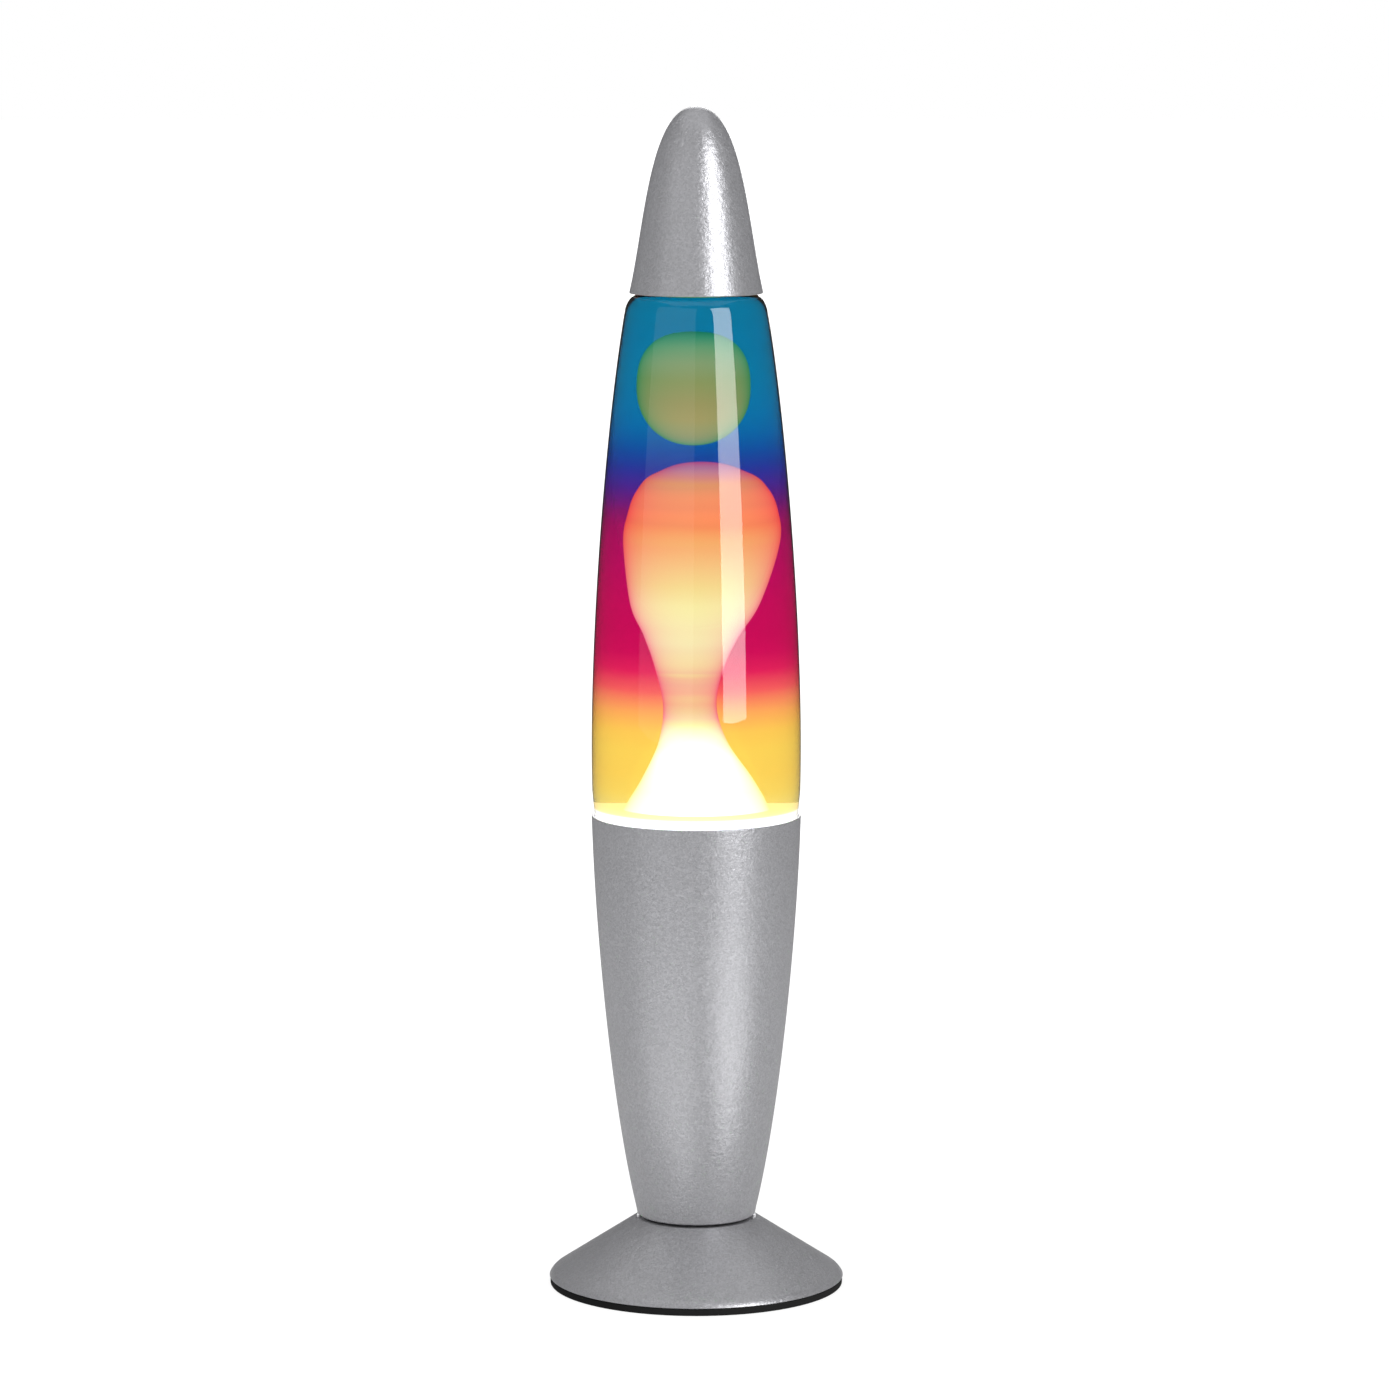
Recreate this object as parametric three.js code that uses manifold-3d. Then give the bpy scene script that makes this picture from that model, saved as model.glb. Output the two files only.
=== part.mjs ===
// Lava lamp: a glass bottle of clear liquid and coloured wax stands in a tapered spun metal cup on
// a low conical foot, under a bullet-shaped metal cap that lifts off.
// Millimetres, +Z up, origin on the table at the middle of the foot.
import * as THREE from 'three';
import { mergeVertices } from 'three/addons/utils/BufferGeometryUtils.js';
import Module from 'manifold-3d';

const wasm = await Module();
wasm.setup();

// ---- driving dimensions -------------------------------------------------------------------
const GAP = 0.3; // clearance between pieces that touch
const SHELL_SIDES = 24; // facets round the large shells
const SMALL_SIDES = 16; // facets round the small round pieces
const WAX_SIDES = 20; // facets round the wax

const PAD_THICKNESS = 2.4;
const FOOT_RADIUS = 50.7; // widest, at the rounded rim
const FOOT_RIM_ROUND = 5.5;
const FOOT_HEIGHT = 20.7; // from the pad to the flat top
const FOOT_WALL = 1.2;
const PLATE_THICKNESS = 1.2;

const SPACER_THICKNESS = 0.8; // dark ring between foot and cup
const CUP_FOOT_RADIUS = 20.3;
const CUP_STANDS_OUT = 0.2; // of the cup's rim past the bottle's widest part
const CUP_WALL = 0.8;
const CUP_FLOOR = 1.1;

const BOTTLE_SUNK = 21.2; // how deep the bottle stands in the cup
const BOTTLE_SIDE = 197.4; // from the bottle's base to its shoulder
const BOTTLE_RADIUS = 35.2;
const BOTTLE_WALL = 2.2;
const BOTTLE_FLOOR = 3;
const BOTTLE_PUNT = 1.4; // the floor is pushed up in the middle
const NECK_RADIUS = 12.6;
const NECK_HEIGHT = 20;
const CROWN_FLARE = 3.4; // of the closure's skirt past the neck
const CROWN_HEIGHT = 6;
const CAP_ROOM = 7.85; // from the closure's skirt out to the top of the bottle's side

const CAP_HEIGHT = 62.1;
const CAP_SET_IN = 1.4; // of the cap's rim from the bottle's side
const CAP_WALL = 1;

const SEAT_DEPTH = 6; // height of the ring that the bottle stands in
const SEAT_WALL = 1.2;

const TUBE_RADIUS = 5; // M10 x 1 hollow threaded tube
const TUBE_WALL = 1.1;
const NUT_RIM = 2; // from the thread to a nut's flat
const NUT_HEIGHT = 3;
const WASHER_THICKNESS = 0.8;

const HOLDER_RADIUS = 14; // E14 lampholder
const HOLDER_WALL = 1.8;
const DOME_HEIGHT = 15;
const SLEEVE_HEIGHT = 30;
const INSERT_THICKNESS = 4;
const SOCKET_RADIUS = 7.6;

const BULB_AIR = 21.5; // free height over the bulb
const BULB_LENGTH = 67; // R39 reflector bulb with an E14 cap
const BULB_RADIUS = 19.5;
const BULB_NECK = 6.1;
const BULB_CAP_RADIUS = 6.9;
const BULB_CAP_TOP = 22;
const BULB_WALL = 0.9;

const LIQUID_IN_NECK = 12; // height of the liquid above the shoulder
const WAX_POOL = 21.5; // depth of the wax on the bottle's floor
const BALL_RADIUS = 14.4;
const BALL_HALF_HEIGHT = 19.1;
const BALL_UP = 8; // drift of the loose blob
const BALL_DOWN = 3.5;
const COLUMN_SWAY = 1.8;
const COIL_WIRE = 0.45;
const COIL_RADIUS = 2.6;
const COIL_TURNS = 16;

const BRACKET_WIDTH = 14;
const BRACKET_THICKNESS = 1.5;
const BRACKET_TOE = 11; // length of a toe past its leg
const PLATE_SCREW_RADIUS = 2;
const PLATE_HEAD_RADIUS = 3.8;
const PLATE_HEAD = 1.6;

const GLAND_RADIUS = 5;
const GLAND_BORE = 3.2;
const GLAND_SET_BACK = 2.1; // of the gland's mouth from the foot's rim
const GLAND_COLLAR = 1; // how far the collar inside stands out
const BLOCK_SIZE = new THREE.Vector3(25, 11, 8);
const BLOCK_CLEAR = 10; // room for the leads between bracket and terminal block
const BLOCK_PITCH = 8;
const WIRE_RADIUS = 1;
const EARTH_SCREW_RADIUS = 1.5; // M3
const EARTH_TAG_RADIUS = 2.9;

// ---- radii and places that follow from them ----------------------------------------------------
const cupRimRadius = BOTTLE_RADIUS + CUP_STANDS_OUT;
const crownRadius = NECK_RADIUS + CROWN_FLARE;
const bottleTopRadius = crownRadius + CAP_ROOM;
const capRadius = bottleTopRadius - CAP_SET_IN;
const baseFlat = BOTTLE_RADIUS - 11.2; // flat part of the bottle's base
const coilRing = baseFlat - 0.5;
const seatHole = baseFlat - 4;
const footTopRadius = CUP_FOOT_RADIUS + 0.3;
const tubeHole = TUBE_RADIUS + GAP;
const bracketLegX = footTopRadius - 3.6;
const bracketToeX = bracketLegX + BRACKET_TOE;
const plateScrewX = bracketLegX + 6;
const earthX = bracketLegX - 5;
const blockY = -(BRACKET_WIDTH / 2 + BLOCK_CLEAR + BLOCK_SIZE.y / 2);

// ---- heights, each built up from the piece below ----------------------------------------------
const plateZ = PAD_THICKNESS + GAP;
const footTopZ = PAD_THICKNESS + FOOT_HEIGHT;
const spacerZ = footTopZ + GAP;
const cupZ = spacerZ + SPACER_THICKNESS + GAP;
const cupFloorZ = cupZ + CUP_FLOOR;
const bracketTopZ = footTopZ - FOOT_WALL - GAP;
const bracketBottomZ = bracketTopZ - BRACKET_THICKNESS;
const toeBottomZ = plateZ + PLATE_THICKNESS + GAP;
const lowerWasherZ = bracketBottomZ - GAP - WASHER_THICKNESS;
const lowerNutZ = lowerWasherZ - GAP - NUT_HEIGHT;
const upperWasherZ = cupFloorZ + GAP;
const upperNutZ = upperWasherZ + WASHER_THICKNESS + GAP;
const holderZ = upperNutZ + NUT_HEIGHT + GAP;
const domeTopZ = holderZ + DOME_HEIGHT;
const tubeBottomZ = lowerNutZ - 1;
const tubeTopZ = holderZ + 6;
const insertZ = domeTopZ - INSERT_THICKNESS;
const socketZ = domeTopZ + GAP;
const bulbZ = socketZ + 4.6;
const sleeveTopZ = domeTopZ + GAP + SLEEVE_HEIGHT;
const seatBottomZ = bulbZ + BULB_LENGTH + BULB_AIR;
const bottleZ = seatBottomZ + SEAT_WALL + GAP;
const cupRimZ = bottleZ + BOTTLE_SUNK;
const bottleFloorZ = bottleZ + BOTTLE_FLOOR;
const shoulderZ = bottleZ + BOTTLE_SIDE;
const shoulderStartZ = shoulderZ - 5.4;
const neckTopZ = shoulderZ + NECK_HEIGHT;
const crownTopZ = neckTopZ + 1.8;
const capZ = shoulderZ + GAP;
const liquidTopZ = shoulderZ + LIQUID_IN_NECK;
const poolTopZ = bottleFloorZ + WAX_POOL;
const ballZ = shoulderZ - 31.7;
const headTopZ = ballZ - BALL_HALF_HEIGHT - BALL_DOWN - 2.2;

// ---- outlines: lists of (radius, height) points ----------------------------------------------
const at = (r, z) => new THREE.Vector2(r, z);

function bezier(a, b, c, d, steps) {
  return new THREE.CubicBezierCurve(at(...a), at(...b), at(...c), at(...d)).getPoints(steps);
}

function arc(r, z, radius, fromDegrees, toDegrees, steps) {
  const points = [];
  for (let i = 0; i <= steps; i += 1) {
    const angle = THREE.MathUtils.degToRad(fromDegrees + ((toDegrees - fromDegrees) * i) / steps);
    points.push(at(r + radius * Math.cos(angle), z + radius * Math.sin(angle)));
  }
  return points;
}

// The outline moved sideways by a distance, towards its left as it is walked.
function offset(points, distance) {
  return points.map((point, i) => {
    const before = points[Math.max(i - 1, 0)];
    const after = points[Math.min(i + 1, points.length - 1)];
    const along = after.clone().sub(before).normalize();
    return at(point.x - along.y * distance, point.y + along.x * distance);
  });
}

const bottleHeel = bezier(
  [baseFlat, bottleZ],
  [baseFlat + 7, bottleZ],
  [BOTTLE_RADIUS - 1.8, bottleZ + 9],
  [BOTTLE_RADIUS, bottleZ + 30],
  5,
);
const bottleSide = bezier(
  [BOTTLE_RADIUS, bottleZ + 30],
  [BOTTLE_RADIUS + 1.2, bottleZ + 74],
  [BOTTLE_RADIUS - 4.2, shoulderStartZ - 42],
  [bottleTopRadius, shoulderStartZ],
  6,
);
const bottleShoulder = bezier(
  [bottleTopRadius, shoulderStartZ],
  [bottleTopRadius - 0.7, shoulderStartZ + 3.5],
  [bottleTopRadius - 2.5, shoulderZ],
  [bottleTopRadius - 5, shoulderZ],
  2,
);
const bottleBody = [...bottleHeel, ...bottleSide.slice(1), ...bottleShoulder.slice(1)];
const neckOutside = [
  at(NECK_RADIUS + 1.8, shoulderZ),
  at(NECK_RADIUS, shoulderZ + 2),
  at(NECK_RADIUS, neckTopZ - 5.5),
  at(NECK_RADIUS + 0.7, neckTopZ - 4.6),
  at(NECK_RADIUS + 0.7, neckTopZ - 1.4),
  at(NECK_RADIUS - 0.6, neckTopZ),
];
const neckBore = NECK_RADIUS - 2.6;
const bottleInside = offset(bottleBody, BOTTLE_WALL).map((p) => at(p.x, Math.max(p.y, bottleFloorZ)));

const cupOutside = bezier(
  [CUP_FOOT_RADIUS, cupZ + 0.8],
  [CUP_FOOT_RADIUS + 8.1, cupZ + 34.5],
  [cupRimRadius - 1.1, cupRimZ - 41],
  [cupRimRadius, cupRimZ],
  7,
);

// Radius of the cup's inner face at a height.
function cupInsideRadius(z) {
  const inside = offset(cupOutside, CUP_WALL);
  const above = inside.findIndex((p) => p.y >= z);
  const [low, high] = [inside[above - 1], inside[above]];
  return low.x + ((high.x - low.x) * (z - low.y)) / (high.y - low.y);
}

// ---- solids ------------------------------------------------------------------------------------
// A solid of revolution about Z. The outline starts and ends on the axis, or is closed here.
function turned(outline, sides = SMALL_SIDES) {
  const points = outline.map((p) => (p.isVector2 ? p : at(...p)));
  const [first, last] = [points[0], points[points.length - 1]];
  if (first.x > 0 || last.x > 0) points.push(first.clone());
  if (THREE.ShapeUtils.area(points) < 0) points.reverse();
  return new THREE.LatheGeometry(points, sides).rotateX(Math.PI / 2);
}

function ring(inner, outer, bottom, top, sides = SMALL_SIDES) {
  return turned([[inner, bottom], [outer, bottom], [outer, top], [inner, top]], sides);
}

function disc(radius, bottom, top, sides = SMALL_SIDES) {
  return turned([[0, bottom], [radius, bottom], [radius, top], [0, top]], sides);
}

function box(size, x, y, z) {
  return new THREE.BoxGeometry(size.x, size.y, size.z).translate(x, y, z);
}

// A plate cut along a flat outline and its holes, lying on the level given.
function plate(shape, bottom, thickness, curveSegments = 8) {
  const options = { depth: thickness, bevelEnabled: false, curveSegments };
  return new THREE.ExtrudeGeometry(shape, options).translate(0, 0, bottom);
}

function circle(radius) {
  return new THREE.Path().absarc(0, 0, radius, 0, Math.PI * 2);
}

// A flat shape bounded by straight lines through the points.
function outlined(points) {
  return new THREE.Shape(points.map(([x, y]) => new THREE.Vector2(x, y)));
}

function polygon(sides, radius) {
  const points = [];
  for (let i = 0; i < sides; i += 1) {
    const angle = (i * 2 * Math.PI) / sides;
    points.push([radius * Math.cos(angle), radius * Math.sin(angle)]);
  }
  return outlined(points);
}

function hexNut(bottom) {
  const shape = polygon(6, (2 * (TUBE_RADIUS + NUT_RIM)) / Math.sqrt(3));
  shape.holes.push(circle(tubeHole));
  return plate(shape, bottom, NUT_HEIGHT, SMALL_SIDES / 2);
}

// A round wire along a smooth path through points.
function wire(points, radius, steps, sides = 6) {
  const vectors = points.map((p) => new THREE.Vector3(...p));
  const extrudePath = new THREE.CatmullRomCurve3(vectors, false, 'catmullrom');
  return new THREE.ExtrudeGeometry(polygon(sides, radius), { extrudePath, steps, bevelEnabled: false });
}

function toSolid(geometry) {
  const bare = geometry.clone();
  bare.deleteAttribute('normal');
  bare.deleteAttribute('uv');
  const merged = mergeVertices(bare, 1e-3);
  const triVerts = new Uint32Array(merged.index.array);
  const vertProperties = merged.attributes.position.array;
  return new wasm.Manifold(new wasm.Mesh({ numProp: 3, vertProperties, triVerts }));
}

function toGeometry(solid) {
  const mesh = solid.getMesh();
  const geometry = new THREE.BufferGeometry();
  geometry.setAttribute('position', new THREE.BufferAttribute(mesh.vertProperties, 3));
  geometry.setIndex(new THREE.BufferAttribute(mesh.triVerts, 1));
  geometry.computeVertexNormals();
  return geometry;
}

function cut(geometry, ...tools) {
  return toGeometry(tools.reduce((solid, tool) => solid.subtract(toSolid(tool)), toSolid(geometry)));
}

// ---- materials ---------------------------------------------------------------------------------
function finish(color, roughness, metalness, opacity = 1) {
  const transparent = opacity < 1;
  return new THREE.MeshStandardMaterial({ color, roughness, metalness, opacity, transparent });
}

const flakeSilver = () => finish(0xa9a9ae, 0.35, 0.7);
const zincSteel = () => finish(0xb5b7ba, 0.4, 0.9);
const brass = () => finish(0xc4a052, 0.3, 1);
const blackMoulding = () => finish(0x17171a, 0.45, 0);
const clearGlass = () => finish(0x1f7fa8, 0.05, 0, 0.35);

const lamp = new THREE.Group();

function add(name, geometry, material) {
  const mesh = new THREE.Mesh(geometry, material);
  mesh.name = name;
  lamp.add(mesh);
  return mesh;
}

// ---- foot --------------------------------------------------------------------------------------
// Height of the foot's cone at a radius, and its radius at a height.
const rimZ = PAD_THICKNESS - 2.1; // centre of the rim's rounding
const rimR = FOOT_RADIUS - FOOT_RIM_ROUND;
const coneTop = at(footTopRadius, footTopZ - 0.2);

// Angle at which the cone's straight flank touches the rim's rounding.
function rimTouchAngle() {
  const toTop = coneTop.clone().sub(at(rimR, rimZ));
  const lean = Math.acos(FOOT_RIM_ROUND / toTop.length());
  return THREE.MathUtils.radToDeg(Math.atan2(toTop.y, toTop.x) - lean);
}

// Radius of the cone's inner face at a height on its straight flank.
function coneInsideRadius(z) {
  const touch = arc(rimR, rimZ, FOOT_RIM_ROUND, rimTouchAngle(), rimTouchAngle(), 1)[0];
  const slope = (touch.x - coneTop.x) / (coneTop.y - touch.y);
  return coneTop.x + (coneTop.y - z) * slope - FOOT_WALL * Math.hypot(1, slope);
}

// The gland lies on the bottom plate, with its collar up against the inside of the cone.
const glandZ = toeBottomZ + GLAND_RADIUS + GLAND_COLLAR;
const glandInnerY = coneInsideRadius(glandZ + GLAND_RADIUS + GLAND_COLLAR + GAP) - GAP;
const glandOuterY = FOOT_RADIUS - GLAND_SET_BACK;

function gland(radius, from, to) {
  return disc(radius, from, to).rotateX(-Math.PI / 2).translate(0, 0, glandZ);
}

function makeFoot() {
  const rimEnd = THREE.MathUtils.radToDeg(Math.asin((plateZ - rimZ) / FOOT_RIM_ROUND));
  const outside = [
    ...arc(rimR, rimZ, FOOT_RIM_ROUND, rimEnd, rimTouchAngle(), 4),
    coneTop,
    at(footTopRadius - 0.8, footTopZ),
    at(tubeHole, footTopZ),
  ];
  const inside = offset(outside, FOOT_WALL).map((p) => at(p.x, Math.max(p.y, plateZ)));
  const shell = turned([...outside, ...inside.reverse()], SHELL_SIDES);
  const glandHole = gland(GLAND_RADIUS + GAP, glandInnerY - 3, FOOT_RADIUS + 4);
  add('foot_cone', cut(shell, glandHole), flakeSilver());

  const screwHole = (x) => disc(PLATE_SCREW_RADIUS + GAP, 0, 30, 12).translate(x, 0, 0);
  const headHole = (x) => disc(PLATE_HEAD_RADIUS + 0.8, -1, 30, 16).translate(x, 0, 0);
  const sides = [plateScrewX, -plateScrewX];
  const plateTopZ = plateZ + PLATE_THICKNESS;
  const plateRadius = rimR + Math.sqrt((FOOT_RIM_ROUND - FOOT_WALL) ** 2 - (plateTopZ - rimZ) ** 2) - GAP;
  const bottom = disc(plateRadius, plateZ, plateTopZ, SHELL_SIDES);
  add('bottom_plate', cut(bottom, ...sides.map(screwHole)), zincSteel());
  const pad = disc(FOOT_RADIUS - 0.8, 0, PAD_THICKNESS, SHELL_SIDES);
  add('foot_pad', cut(pad, ...sides.map(headHole)), finish(0x0b0b0c, 0.9, 0));

  const screw = [
    [0, plateZ - GAP - PLATE_HEAD],
    [PLATE_HEAD_RADIUS - 0.6, plateZ - GAP - PLATE_HEAD],
    [PLATE_HEAD_RADIUS, plateZ - GAP - 0.8],
    [PLATE_HEAD_RADIUS, plateZ - GAP],
    [PLATE_SCREW_RADIUS, plateZ - GAP],
    [PLATE_SCREW_RADIUS, toeBottomZ + 4],
    [0, toeBottomZ + 4],
  ];
  sides.forEach((x, i) => {
    add(`plate_screw_${i + 1}`, turned(screw, 12).translate(x, 0, 0), zincSteel());
  });

  const [leg, toe, t] = [bracketLegX, bracketToeX, BRACKET_THICKNESS];
  const [low, high] = [toeBottomZ, bracketTopZ];
  const half = [
    [leg, high],
    [leg, low + t],
    [toe, low + t],
    [toe, low],
    [leg - t, low],
    [leg - t, high - t],
  ];
  const mirrored = half.map(([x, z]) => [-x, z]).reverse();
  const outline = outlined([...half, ...mirrored]);
  const strap = plate(outline, -BRACKET_WIDTH / 2, BRACKET_WIDTH).rotateX(Math.PI / 2);
  const tubeWay = disc(tubeHole, low, high + 1);
  const earthHole = disc(EARTH_SCREW_RADIUS + GAP, high - 5, high + 1, 12).translate(earthX, 0, 0);
  add('bracket', cut(strap, tubeWay, earthHole, ...sides.map(screwHole)), zincSteel());
}

function makeGland() {
  const outer = gland(GLAND_RADIUS, glandInnerY, glandOuterY);
  const collar = gland(GLAND_RADIUS + GLAND_COLLAR, glandInnerY - 2, glandInnerY);
  const bore = gland(GLAND_BORE, glandInnerY - 5, glandOuterY + 5);
  const body = toSolid(outer).add(toSolid(collar)).subtract(toSolid(bore));
  add('cord_gland', toGeometry(body), blackMoulding());
}

// ---- cup and the stack that clamps it to the foot ---------------------------------------------
function makeCup() {
  const spacer = ring(tubeHole, CUP_FOOT_RADIUS - 2.8, spacerZ, spacerZ + SPACER_THICKNESS);
  add('spacer_ring', spacer, blackMoulding());
  const inside = offset(cupOutside, CUP_WALL).filter((p) => p.y > cupFloorZ);
  const outline = [
    at(tubeHole, cupZ),
    at(CUP_FOOT_RADIUS - 0.8, cupZ),
    ...cupOutside,
    ...inside.reverse(),
    at(CUP_FOOT_RADIUS - CUP_WALL, cupFloorZ),
    at(tubeHole, cupFloorZ),
  ];
  add('cup', turned(outline, SHELL_SIDES), flakeSilver());

  // The ring wedges in the taper of the cup; the bottle's heel stands on its ledge.
  const ledgeZ = bottleZ - GAP;
  const seatTop = ledgeZ + SEAT_DEPTH;
  const outer = cupInsideRadius(seatBottomZ) - GAP;
  const seat = [
    [seatHole, seatBottomZ],
    [outer, seatBottomZ],
    [outer, seatTop],
    [outer - SEAT_WALL, seatTop],
    [outer - SEAT_WALL, ledgeZ + 4.4],
    [outer - SEAT_WALL - 4.6, ledgeZ],
    [seatHole, ledgeZ],
  ];
  add('bottle_seat', turned(seat, SHELL_SIDES), finish(0x2a2a2c, 0.8, 0));
}

function makeClamp() {
  add('threaded_tube', ring(TUBE_RADIUS - TUBE_WALL, TUBE_RADIUS, tubeBottomZ, tubeTopZ), zincSteel());
  add('lower_nut', hexNut(lowerNutZ), zincSteel());
  const washer = (reach, z) => ring(tubeHole, TUBE_RADIUS + reach, z, z + WASHER_THICKNESS);
  add('lower_washer', washer(3, lowerWasherZ), zincSteel());
  add('upper_washer', washer(5, upperWasherZ), zincSteel());
  add('upper_nut', hexNut(upperNutZ), zincSteel());
}

// ---- lampholder --------------------------------------------------------------------------------
const TERMINAL_X = 8.4;

function makeHolder() {
  const inner = HOLDER_RADIUS - HOLDER_WALL;
  const dome = [
    [tubeHole, holderZ],
    [TUBE_RADIUS + 3.5, holderZ],
    [HOLDER_RADIUS - 1.2, holderZ + 6.5],
    [HOLDER_RADIUS, holderZ + 9.5],
    [HOLDER_RADIUS, domeTopZ],
    [inner, domeTopZ],
    [inner, holderZ + 9.5],
    [TUBE_RADIUS + 3, holderZ + HOLDER_WALL + 2.4],
    [tubeHole, holderZ + HOLDER_WALL + 2.4],
  ];
  add('holder_dome', turned(dome), blackMoulding());
  const sleeve = [
    [inner, socketZ],
    [HOLDER_RADIUS, socketZ],
    [HOLDER_RADIUS, sleeveTopZ - 8],
    [HOLDER_RADIUS - 2.2, sleeveTopZ - 5],
    [HOLDER_RADIUS - 2.8, sleeveTopZ],
    [SOCKET_RADIUS + 2 * GAP, sleeveTopZ],
    [SOCKET_RADIUS + 2 * GAP, sleeveTopZ - 5],
    [inner, sleeveTopZ - 9],
  ];
  add('holder_sleeve', turned(sleeve), blackMoulding());

  const terminals = [TERMINAL_X, -TERMINAL_X];
  const hole = (x) => disc(1.5, insertZ - 5, insertZ + 10, 10).translate(x, 0, 0);
  const insert = disc(inner - GAP, insertZ, domeTopZ);
  add('holder_insert', cut(insert, ...terminals.map(hole)), finish(0xe6e2d8, 0.6, 0));
  const screw = [
    [0, insertZ - GAP - 1.4],
    [2.2, insertZ - GAP - 1.4],
    [2.2, insertZ - GAP],
    [1.2, insertZ - GAP],
    [1.2, domeTopZ - 0.5],
    [0, domeTopZ - 0.5],
  ];
  const names = ['terminal_screw_live', 'terminal_screw_neutral'];
  terminals.forEach((x, i) => {
    add(names[i], turned(screw, 10).translate(x, 0, 0), brass());
  });

  const shellTop = bulbZ + BULB_CAP_TOP - 3;
  const shell = [
    [3.6, socketZ],
    [SOCKET_RADIUS, socketZ],
    [SOCKET_RADIUS, shellTop],
    [BULB_CAP_RADIUS + GAP, shellTop],
    [BULB_CAP_RADIUS + GAP, socketZ + 0.5],
    [3.6, socketZ + 0.5],
  ];
  add('socket_shell', turned(shell), brass());

  const leaf = [[-2.6, 0], [2.6, 0], [2.6, 0.5], [-1.2, 0.5], [2.2, 3.6], [2.2, 4.2], [-2.6, 0.5]];
  const spring = outlined(leaf.map(([x, z]) => [x, socketZ + z]));
  add('socket_contact', plate(spring, -1.5, 3).rotateX(Math.PI / 2), brass());
}

// ---- bulb --------------------------------------------------------------------------------------
function makeBulb() {
  const top = bulbZ + BULB_LENGTH;
  const glassZ = bulbZ + BULB_CAP_TOP - 3;
  const flare = [BULB_RADIUS - 2.5, glassZ + 18];
  const envelope = [
    at(BULB_NECK, glassZ),
    ...bezier([BULB_NECK, glassZ + 5], [BULB_NECK + 1, glassZ + 14], flare, [BULB_RADIUS, top - 12], 5),
    ...bezier([BULB_RADIUS, top - 10.5], [BULB_RADIUS, top - 4.5], [BULB_RADIUS - 8.5, top], [0, top], 5),
  ];
  const inside = offset(envelope, BULB_WALL);
  inside[inside.length - 1] = at(0, top - BULB_WALL);
  add('bulb_glass', turned([...envelope, ...inside.reverse()]), finish(0xf2f2ee, 0.1, 0, 0.5));

  const capWall = 0.5;
  const cap = [
    [BULB_CAP_RADIUS - capWall, bulbZ + 5],
    [BULB_CAP_RADIUS, bulbZ + 5],
    [BULB_CAP_RADIUS, bulbZ + BULB_CAP_TOP],
    [BULB_CAP_RADIUS - capWall, bulbZ + BULB_CAP_TOP],
  ];
  add('bulb_cap', turned(cap), finish(0xc9c9c6, 0.3, 0.9));
  const aboveTip = (outline) => turned(outline.map(([r, z]) => [r, bulbZ + z]));
  const insulator = aboveTip([[2, 1.3], [3.6, 1.3], [6.2, 4.7], [2, 4.7]]);
  add('bulb_insulator', insulator, blackMoulding());
  const contact = aboveTip([[0, 0], [2.4, 0], [3, 1], [1.6, 1], [1.6, 3.4], [0, 3.4]]);
  add('bulb_contact', contact, finish(0xa8a8a4, 0.5, 0.8));

  const stemTop = bulbZ + 34;
  const stem = [[0, bulbZ + 14], [4.6, bulbZ + 14], [2.4, bulbZ + 18], [1.8, stemTop], [0, stemTop]];
  add('bulb_stem', turned(stem, 12), finish(0xe8f0f0, 0.1, 0, 0.5));
  const filamentZ = bulbZ + 42;
  const coilEnd = 4.5;
  const support = (side, name) => {
    const foot = [side, 0, stemTop + GAP];
    const hook = [side * coilEnd, 0, filamentZ - 0.9];
    add(name, wire([foot, [side * 2, 0, stemTop + 3], hook], 0.25, 4, 4), zincSteel());
  };
  support(1, 'bulb_lead_a');
  support(-1, 'bulb_lead_b');
  const turns = 6;
  const perTurn = 5;
  const helix = [];
  for (let i = 0; i <= turns * perTurn; i += 1) {
    const angle = (i * 2 * Math.PI) / perTurn;
    const x = -coilEnd + (2 * coilEnd * i) / (turns * perTurn);
    helix.push([x, 0.45 * Math.cos(angle), filamentZ + 0.45 * Math.sin(angle)]);
  }
  add('bulb_filament', wire(helix, 0.12, turns * perTurn, 3), finish(0x8a8a86, 0.5, 0.8));
}

// ---- bottle and what it holds -----------------------------------------------------------------
// Radius of the bottle's inner face at a height.
function bottleInsideRadius(z) {
  const above = bottleInside.findIndex((p) => p.y >= z && p.x > baseFlat);
  const [low, high] = [bottleInside[above - 1], bottleInside[above]];
  return low.x + ((high.x - low.x) * (z - low.y)) / (high.y - low.y);
}

function makeBottle() {
  const outline = [
    at(0, bottleZ + BOTTLE_PUNT),
    ...bottleBody,
    ...neckOutside,
    at(neckBore, neckTopZ - 0.5),
    at(neckBore, shoulderZ - 1),
    at(neckBore + 2, shoulderZ - BOTTLE_WALL),
    ...bottleInside.slice(1).reverse(),
    at(baseFlat - 2, bottleFloorZ),
    at(0, bottleFloorZ + BOTTLE_PUNT),
  ];
  add('bottle_glass', turned(outline, SHELL_SIDES), clearGlass());
}

// A crimped closure over a soft liner, on the beaded mouth of the neck.
function makeClosure() {
  const sheet = 0.4;
  const under = crownTopZ - sheet;
  const skirtZ = crownTopZ - CROWN_HEIGHT;
  const crown = [
    [0, crownTopZ],
    [crownRadius - 3.4, crownTopZ],
    [crownRadius - 1.4, crownTopZ - 1],
    [crownRadius, skirtZ],
    [crownRadius - sheet, skirtZ],
    [crownRadius - 2, crownTopZ - 1.2],
    [crownRadius - 3.6, under],
    [0, under],
  ];
  add('crown_closure', turned(crown), finish(0xc2a14e, 0.35, 0.8));
  const liner = disc(NECK_RADIUS - 0.4, neckTopZ + GAP, under - GAP);
  add('closure_liner', liner, finish(0xe8e4da, 0.7, 0));
}

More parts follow.
